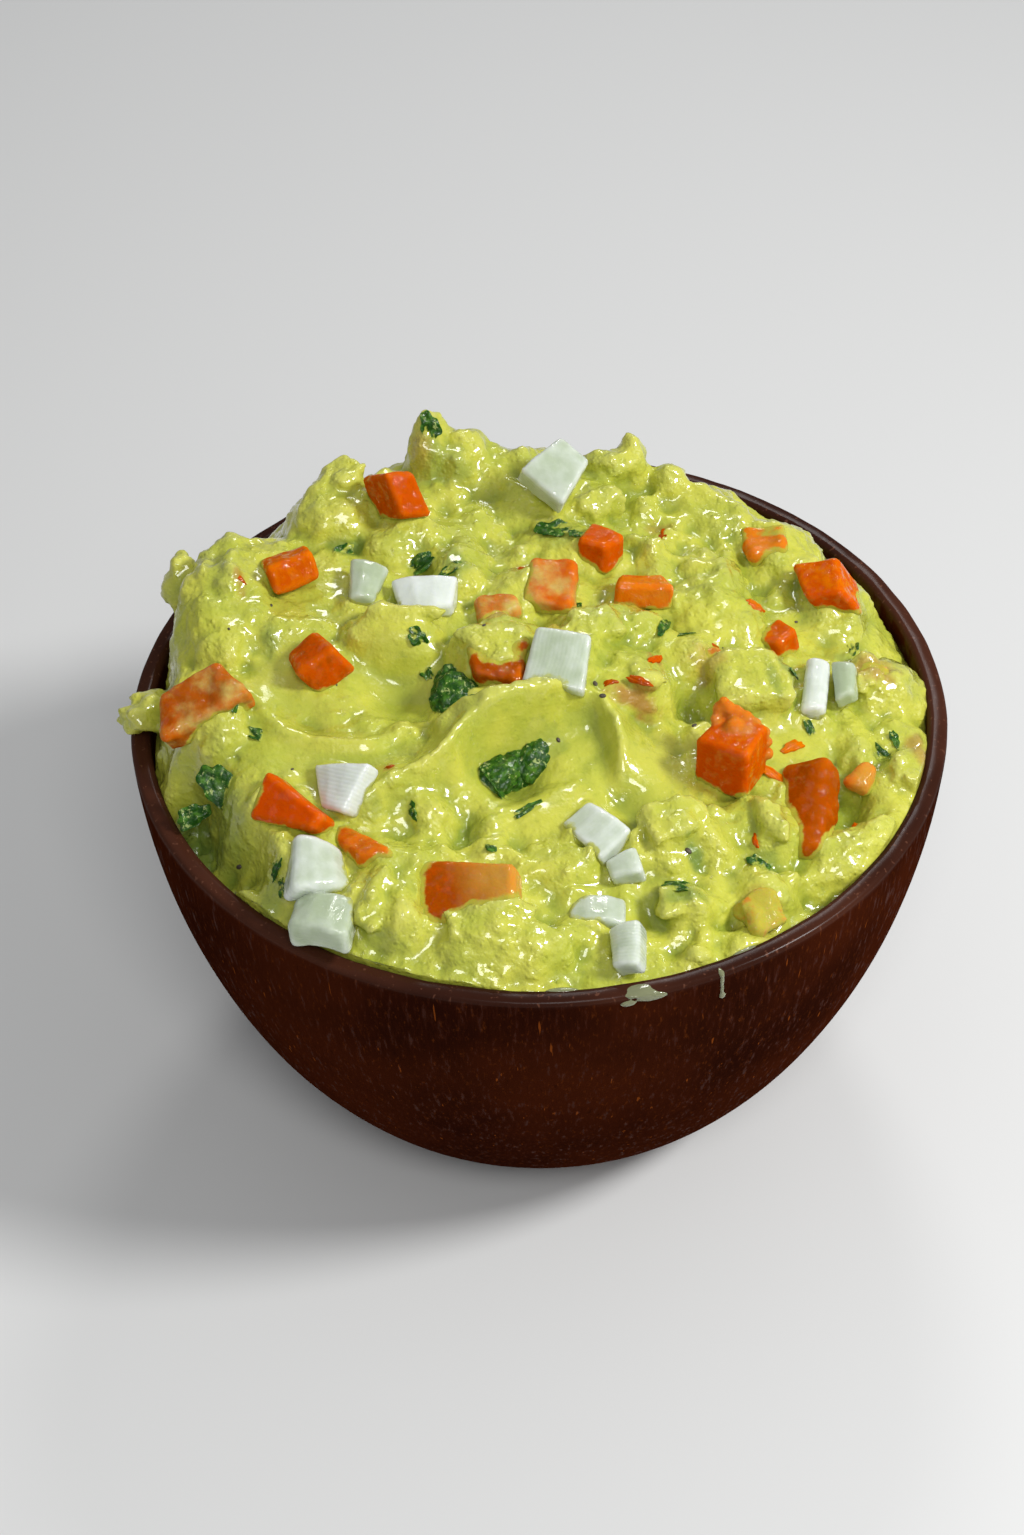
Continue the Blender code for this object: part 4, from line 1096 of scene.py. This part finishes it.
class ToppingSettings(bpy.types.PropertyGroup):
    skin: colour_setting("Skin", "The tomato's skin", (0.62, 0.072, 0.0))
    brown: colour_setting("Ripest flesh", "The tomato's darkest flesh", (0.36, 0.062, 0.0))
    red: colour_setting("Red flesh", "The tomato's red flesh", (0.57, 0.078, 0.0))
    orange: colour_setting("Orange flesh", "The tomato's lighter flesh", (0.66, 0.155, 0.0))
    amber: colour_setting("Amber flesh", "The tomato's palest flesh", (0.58, 0.29, 0.04))
    cream: colour_setting("Film", "The film of mash on smeared pieces", (0.58, 0.48, 0.13))
    white: colour_setting("Onion", "The onion's cut face", (0.80, 0.85, 0.79))
    clear: colour_setting("Clear onion", "The onion where it is glassy", (0.44, 0.52, 0.34))
    voxel: FloatProperty(
        name="Face size", description="Width of the toppings' faces, in millimetres", default=0.3, min=0.2, max=1
    )


class HerbSettings(bpy.types.PropertyGroup):
    dark: colour_setting("Dark leaf", "The leaf's upper side", (0.012, 0.060, 0.004))
    # The lighter green also serves as painted highlight streaks on the wet leaf.
    light: colour_setting("Light leaf", "The leaf where it is bruised or turned over", (0.075, 0.20, 0.014))


class StageSettings(bpy.types.PropertyGroup):
    floor: colour_setting("Floor", "The floor's colour", (0.72, 0.72, 0.71))
    key_power: FloatProperty(name="Key light", description="Power of the key light, in watts", default=3.5, min=0)
    fill_power: FloatProperty(name="Fill light", description="Power of the fill light, in watts", default=1.35, min=0)
    back_power: FloatProperty(name="Back light", description="Power of the back light, in watts", default=0.65, min=0)
    surround: FloatProperty(name="Surround", description="Light from all round", default=0.30, min=0)
    camera_tilt: FloatProperty(
        name="Camera tilt", description="How far the camera looks down", default=radians(43.3025), subtype="ANGLE",
        unit="ROTATION",
    )


SETTINGS = {
    "bowl_wood": WoodSettings, "bowl_mash": MashSettings, "bowl_toppings": ToppingSettings,
    "bowl_herbs": HerbSettings, "bowl_stage": StageSettings,
}


class BOWL_OT_wooden_bowl(bpy.types.Operator):
    """Turn the wooden bowl"""

    bl_idname = "bowl.wooden_bowl"
    bl_label = "Wooden bowl"

    def execute(self, context):
        settings = context.scene.bowl_wood
        profile = [(0.0, 0.0)]
        rows = 44
        for row in range(rows + 1):
            t = row / rows * pi / 2
            profile.append(
                (FOOT_RADIUS + (RIM_RADIUS - FOOT_RADIUS) * sin(t) ** OUTER_SWELL,
                 RIM_LEVEL * (1 - cos(t) ** OUTER_SWELL))
            )
        profile = [point for point in profile if point[1] < RIM_LEVEL - 1.3]
        for side, start in ((1, 0.0), (-1, pi / 2)):
            middle = RIM_RADIUS - 0.9 if side > 0 else INNER_RADIUS + 1.1
            round_off = 0.9 if side > 0 else 1.1
            for step in range(6):
                t = start + step / 5 * pi / 2
                profile.append((middle + round_off * cos(t), RIM_LEVEL - round_off * (1 - sin(t))))
        for row in range(26):
            level = RIM_LEVEL - 2.0 - (RIM_LEVEL - FLOOR_THICKNESS - 2.0) * (row / 26) ** 1.3
            profile.append((float(wall_radius(level)), level))
        profile.append((0.0, FLOOR_THICKNESS))
        bm = bmesh.new()
        points = [bm.verts.new((r, 0, z)) for r, z in profile]
        edges = [bm.edges.new(pair) for pair in zip(points, points[1:])]
        bmesh.ops.spin(
            bm, geom=points + edges, cent=(0, 0, 0), axis=(0, 0, 1), angle=2 * pi, steps=settings.segments,
            use_merge=True,
        )
        bmesh.ops.remove_doubles(bm, verts=bm.verts, dist=0.001)
        obj = new_piece("turned_bowl", bm)
        mesh = obj.data
        points = points_of(mesh)
        radius = np.hypot(points[:, 0], points[:, 1])
        level = points[:, 2]
        near_rim = ramp((level - RIM_LEVEL + 6) / 6)
        wear = 0.16 * noise_at(points, 7.0, 5.0) + 0.08 * noise_at(points, 2.4, 2.0)
        points[:, 2] += np.where(level > RIM_LEVEL - 2.4, wear - 0.12, 0)
        around = points[:, :2] / np.maximum(radius, 0.001)[:, None]
        swell = (0.10 * noise_at(points, 18.0, 8.0) + 0.05 * noise_at(points, 5.0, 1.0) * near_rim) * (radius > 30)
        points[:, :2] += around * swell[:, None]
        move_points(mesh, points)
        on_lip = ramp((level - RIM_LEVEL + 1.15) / 0.5) * ramp((radius - INNER_RADIUS + 0.6) / 0.5)
        store(mesh, "lip", on_lip)
        store(mesh, "inside", (radius < wall_radius(level) + 0.6) * ramp((RIM_LEVEL - 0.4 - level) / 1.0))
        dress(obj, wood_material(settings), "dark_wood", "bowl")
        return {"FINISHED"}


class BOWL_OT_mash(bpy.types.Operator):
    """Heap the mashed avocado into the bowl"""

    bl_idname = "bowl.mash"
    bl_label = "Mashed avocado"

    def execute(self, context):
        settings = context.scene.bowl_mash
        obj = new_piece("heap_of_guacamole", heap_body(0.5))
        remesh(obj, settings.voxel)
        mesh = obj.data
        points = evened(mesh, points_of(mesh), 1)
        move_points(mesh, points)
        normals = normals_of(mesh)
        push = 0.34 * noise_at(points, 2.8, 1.0) + 0.24 * billows(points, 1.7, 2.0)
        points += normals * (settings.relief * push * calm_at(points))[:, None]
        points[:, 2] += creep(points)
        radius = np.hypot(points[:, 0], points[:, 1])
        level = points[:, 2]
        loose = (points[:, 0] < -50) & (level > RIM_LEVEL + 0.5)
        reach = np.where(level > RIM_LEVEL, INNER_RADIUS + 0.2, wall_radius(level) + 0.15)
        reach = np.where(loose, np.maximum(reach, RIM_RADIUS + 2), reach)
        points[:, :2] *= np.minimum(1, reach / np.maximum(radius, 0.001))[:, None]
        move_points(mesh, points)
        fill_down_to_floor(obj, RIM_LEVEL - 10.0)
        mesh = obj.data
        points = points_of(mesh)
        normals = normals_of(mesh)
        # How far each point is sunk below the broad form. The material paints shade in the hollows from it, and a
        # highlight on the crests.
        broad = evened(mesh, points, 40)
        sunk = np.einsum("ij,ij->i", broad - points, normals)
        store(mesh, "hollow_shade", evened(mesh, np.clip(sunk / 1.2, -1, 1), 2))
        # The herb patches also hold painted shade in the gap by the wall.
        store(mesh, "herb", patches(points, GREENS_AND_GAP_SHADE, 2.2))
        store(mesh, "brown", patches(points, STAINS, 1.6))
        store(mesh, "rough", 0.25 + 0.75 * np.interp(sunk, [-0.3, 0.3], [1, 0.5]) * calm_at(points))
        level_share = np.interp(normals[:, 2], [0.05, 0.4], [0, 1])
        store(mesh, "wet", level_share * np.clip(0.5 + 0.9 * noise_at(points, 11.0, 40.0), 0, 1))
        dress(obj, guacamole_material(settings), "guacamole", "guacamole")
        return {"FINISHED"}


class BOWL_OT_tomatoes(bpy.types.Operator):
    """Cut the pieces of tomato"""

    bl_idname = "bowl.tomatoes"
    bl_label = "Tomato"

    def execute(self, context):
        settings = context.scene.bowl_toppings
        material = tomato_material(settings)
        heap = surface_of(bpy.data.objects["heap_of_guacamole"])
        for number, node in enumerate(TOMATOES):
            build_tomato(node, settings.voxel, material, number, heap)
        return {"FINISHED"}


class BOWL_OT_onions(bpy.types.Operator):
    """Cut the pieces of onion"""

    bl_idname = "bowl.onions"
    bl_label = "Onion"

    def execute(self, context):
        settings = context.scene.bowl_toppings
        material = onion_material(settings)
        heap = surface_of(bpy.data.objects["heap_of_guacamole"])
        for number, node in enumerate(ONIONS):
            build_onion(node, settings.voxel, material, number, heap)
        return {"FINISHED"}


class BOWL_OT_herbs(bpy.types.Operator):
    """Scatter the chopped herb leaves over the heap"""

    bl_idname = "bowl.herbs"
    bl_label = "Herb leaves"

    def execute(self, context):
        tree = surface_of(bpy.data.objects["heap_of_guacamole"])
        bm = bmesh.new()
        for number, (x, y, length, width, turn, lift, tilt_x, tilt_y, curl) in enumerate(LEAVES):
            place = lying_on(tree, x, y, turn, lift, (tilt_x, tilt_y))
            merge_into(bm, leaf(length, width, curl, 1.7 * number), place)
        for number, (x, y, lift, halves, turn) in enumerate(WADS):
            spot = lying_on(tree, x, y, 0, lift).translation
            merge_into(bm, wad(halves, 3.1 * number), leaning(spot, 36, turn))
        for number, (x, y, height, length, width, turn) in enumerate(STANDING_LEAVES):
            place = leaning(Vector((x, y, RIM_LEVEL + height)), 48, turn)
            merge_into(bm, leaf(length, width, 0.3, 2.9 * number + 1, 0.5), place)
        obj = new_piece("herb_leaves", bm)
        points = points_of(obj.data)
        store(obj.data, "pale", noise_at(points, 2.4, 4.0))
        away = np.array([tree.find_nearest(point)[3] for point in points.tolist()])
        store(obj.data, "film", 0.85 - 0.85 * ramp(away / 0.6))
        dress(obj, herb_material(context.scene.bowl_herbs), "guacamole")
        return {"FINISHED"}


class BOWL_OT_bits(bpy.types.Operator):
    """Scatter the small bits of tomato and the specks of pepper"""

    bl_idname = "bowl.bits"
    bl_label = "Bits and specks"

    def execute(self, context):
        tree = surface_of(bpy.data.objects["heap_of_guacamole"])
        bm = bmesh.new()
        tones = []
        for number, (x, y, length, width, turn, lift, tone) in enumerate(SLIVERS):
            merge_into(bm, leaf(length, width, 0.4, 2.3 * number + 0.4, 0.9), lying_on(tree, x, y, turn, lift - 0.3))
            tones += [tone] * (len(bm.verts) - len(tones))
        slivers = new_piece("tomato_slivers", bm)
        store(slivers.data, "tone", tones)
        store(slivers.data, "cream", np.full(len(tones), 0.2))
        dress(slivers, tomato_material(context.scene.bowl_toppings), "tomato")
        bm = bmesh.new()
        for x, y, size in SPECKS:
            bmesh.ops.create_icosphere(
                bm, subdivisions=2, radius=size / 2,
                matrix=lying_on(tree, x, y, 40 * x, 0.05) @ Matrix.Diagonal((1.2, 0.8, 0.5, 1)),
            )
        specks = new_piece("pepper_specks", bm)
        dress(specks, pepper_material(), "guacamole")
        return {"FINISHED"}


class BOWL_OT_juices(bpy.types.Operator):
    """Let the juice run over the rim and down the wall"""

    bl_idname = "bowl.juices"
    bl_label = "Juice and drips"

    def execute(self, context):
        bm = bmesh.new()
        for around, level, out, halves in DRIPS:
            turn = Matrix.Rotation(radians(around), 4, "Z")
            place = turn @ Matrix.Translation((wall_outside(level) + out, 0, level)) @ Matrix.Diagonal((*halves, 1))
            bmesh.ops.create_icosphere(bm, subdivisions=3, radius=1, matrix=place)
        obj = new_piece("juice_and_drips", bm)
        remesh(obj, 0.22)
        points = evened(obj.data, points_of(obj.data), 3)
        move_points(obj.data, points)
        dress(obj, juice_material(), "onion")
        return {"FINISHED"}


class BOWL_OT_stage(bpy.types.Operator):
    """Set up the floor, the lights and the camera"""

    bl_idname = "bowl.stage"
    bl_label = "Stage"

    def execute(self, context):
        settings = context.scene.bowl_stage
        bm = bmesh.new()
        bmesh.ops.create_grid(bm, x_segments=2, y_segments=2, size=4000)
        floor = new_piece("floor", bm)
        paint = Paint("pale_floor", Roughness=0.6, Base_Color=rgb(*settings.floor))
        floor.data.materials.append(paint.material)
        target = Vector((0, 0, RIM_LEVEL * MM))
        for name, spot, size, power in (
            ("key", (0.46, -0.14, 0.54), 0.15, settings.key_power),
            ("fill", (0.04, -0.44, 0.56), 0.22, settings.fill_power),
            ("back", (0.06, 0.46, 0.50), 0.14, settings.back_power),
        ):
            lamp = bpy.data.lights.new(name, "AREA")
            lamp.shape = "DISK"
            lamp.size = size
            lamp.energy = power
            light = bpy.data.objects.new(name, lamp)
            light.location = spot
            light.rotation_euler = (target - Vector(spot)).to_track_quat("-Z", "Y").to_euler()
            context.scene.collection.objects.link(light)
        world = bpy.data.worlds.new("studio")
        world.use_nodes = True
        background = world.node_tree.nodes["Background"]
        background.inputs["Color"].default_value = rgb(0.95, 0.97, 1.0)
        background.inputs["Strength"].default_value = settings.surround
        context.scene.world = world
        lens = bpy.data.cameras.new("camera")
        lens.lens = 70.36
        lens.sensor_width = 36
        lens.sensor_fit = "AUTO"
        lens.clip_start = 0.02
        camera = bpy.data.objects.new("camera", lens)
        camera.location = (-0.0042507, -0.3397183, 0.3763667)
        aim = Matrix.Rotation(pi / 2 - settings.camera_tilt, 3, "X") @ Matrix.Rotation(-0.0188447, 3, "Z")
        camera.rotation_euler = aim.to_euler()
        context.scene.collection.objects.link(camera)
        context.scene.camera = camera
        context.scene.view_settings.view_transform = "Standard"
        return {"FINISHED"}


class BOWL_PT_panel(bpy.types.Panel):
    """The bowl of guacamole, piece by piece"""

    bl_label = "Bowl of guacamole"
    bl_space_type = "VIEW_3D"
    bl_region_type = "UI"
    bl_category = "Guacamole"

    def draw(self, context):
        for operator in OPERATORS:
            self.layout.operator(operator.bl_idname)
        for key, group in SETTINGS.items():
            box = self.layout.box()
            for prop in group.__annotations__:
                box.prop(getattr(context.scene, key), prop)


OPERATORS = (
    BOWL_OT_wooden_bowl, BOWL_OT_mash, BOWL_OT_tomatoes, BOWL_OT_onions, BOWL_OT_herbs, BOWL_OT_bits,
    BOWL_OT_juices, BOWL_OT_stage,
)


def register():
    for cls in (*SETTINGS.values(), *OPERATORS, BOWL_PT_panel):
        bpy.utils.register_class(cls)
    for key, group in SETTINGS.items():
        setattr(bpy.types.Scene, key, bpy.props.PointerProperty(type=group))


def unregister():
    for key in SETTINGS:
        delattr(bpy.types.Scene, key)
    for cls in reversed((*SETTINGS.values(), *OPERATORS, BOWL_PT_panel)):
        bpy.utils.unregister_class(cls)


def main():
    register()
    bpy.ops.bowl.wooden_bowl()
    bpy.ops.bowl.mash()
    bpy.ops.bowl.tomatoes()
    bpy.ops.bowl.onions()
    bpy.ops.bowl.herbs()
    bpy.ops.bowl.bits()
    bpy.ops.bowl.juices()
    bpy.ops.bowl.stage()


if __name__ == "__main__":
    main()
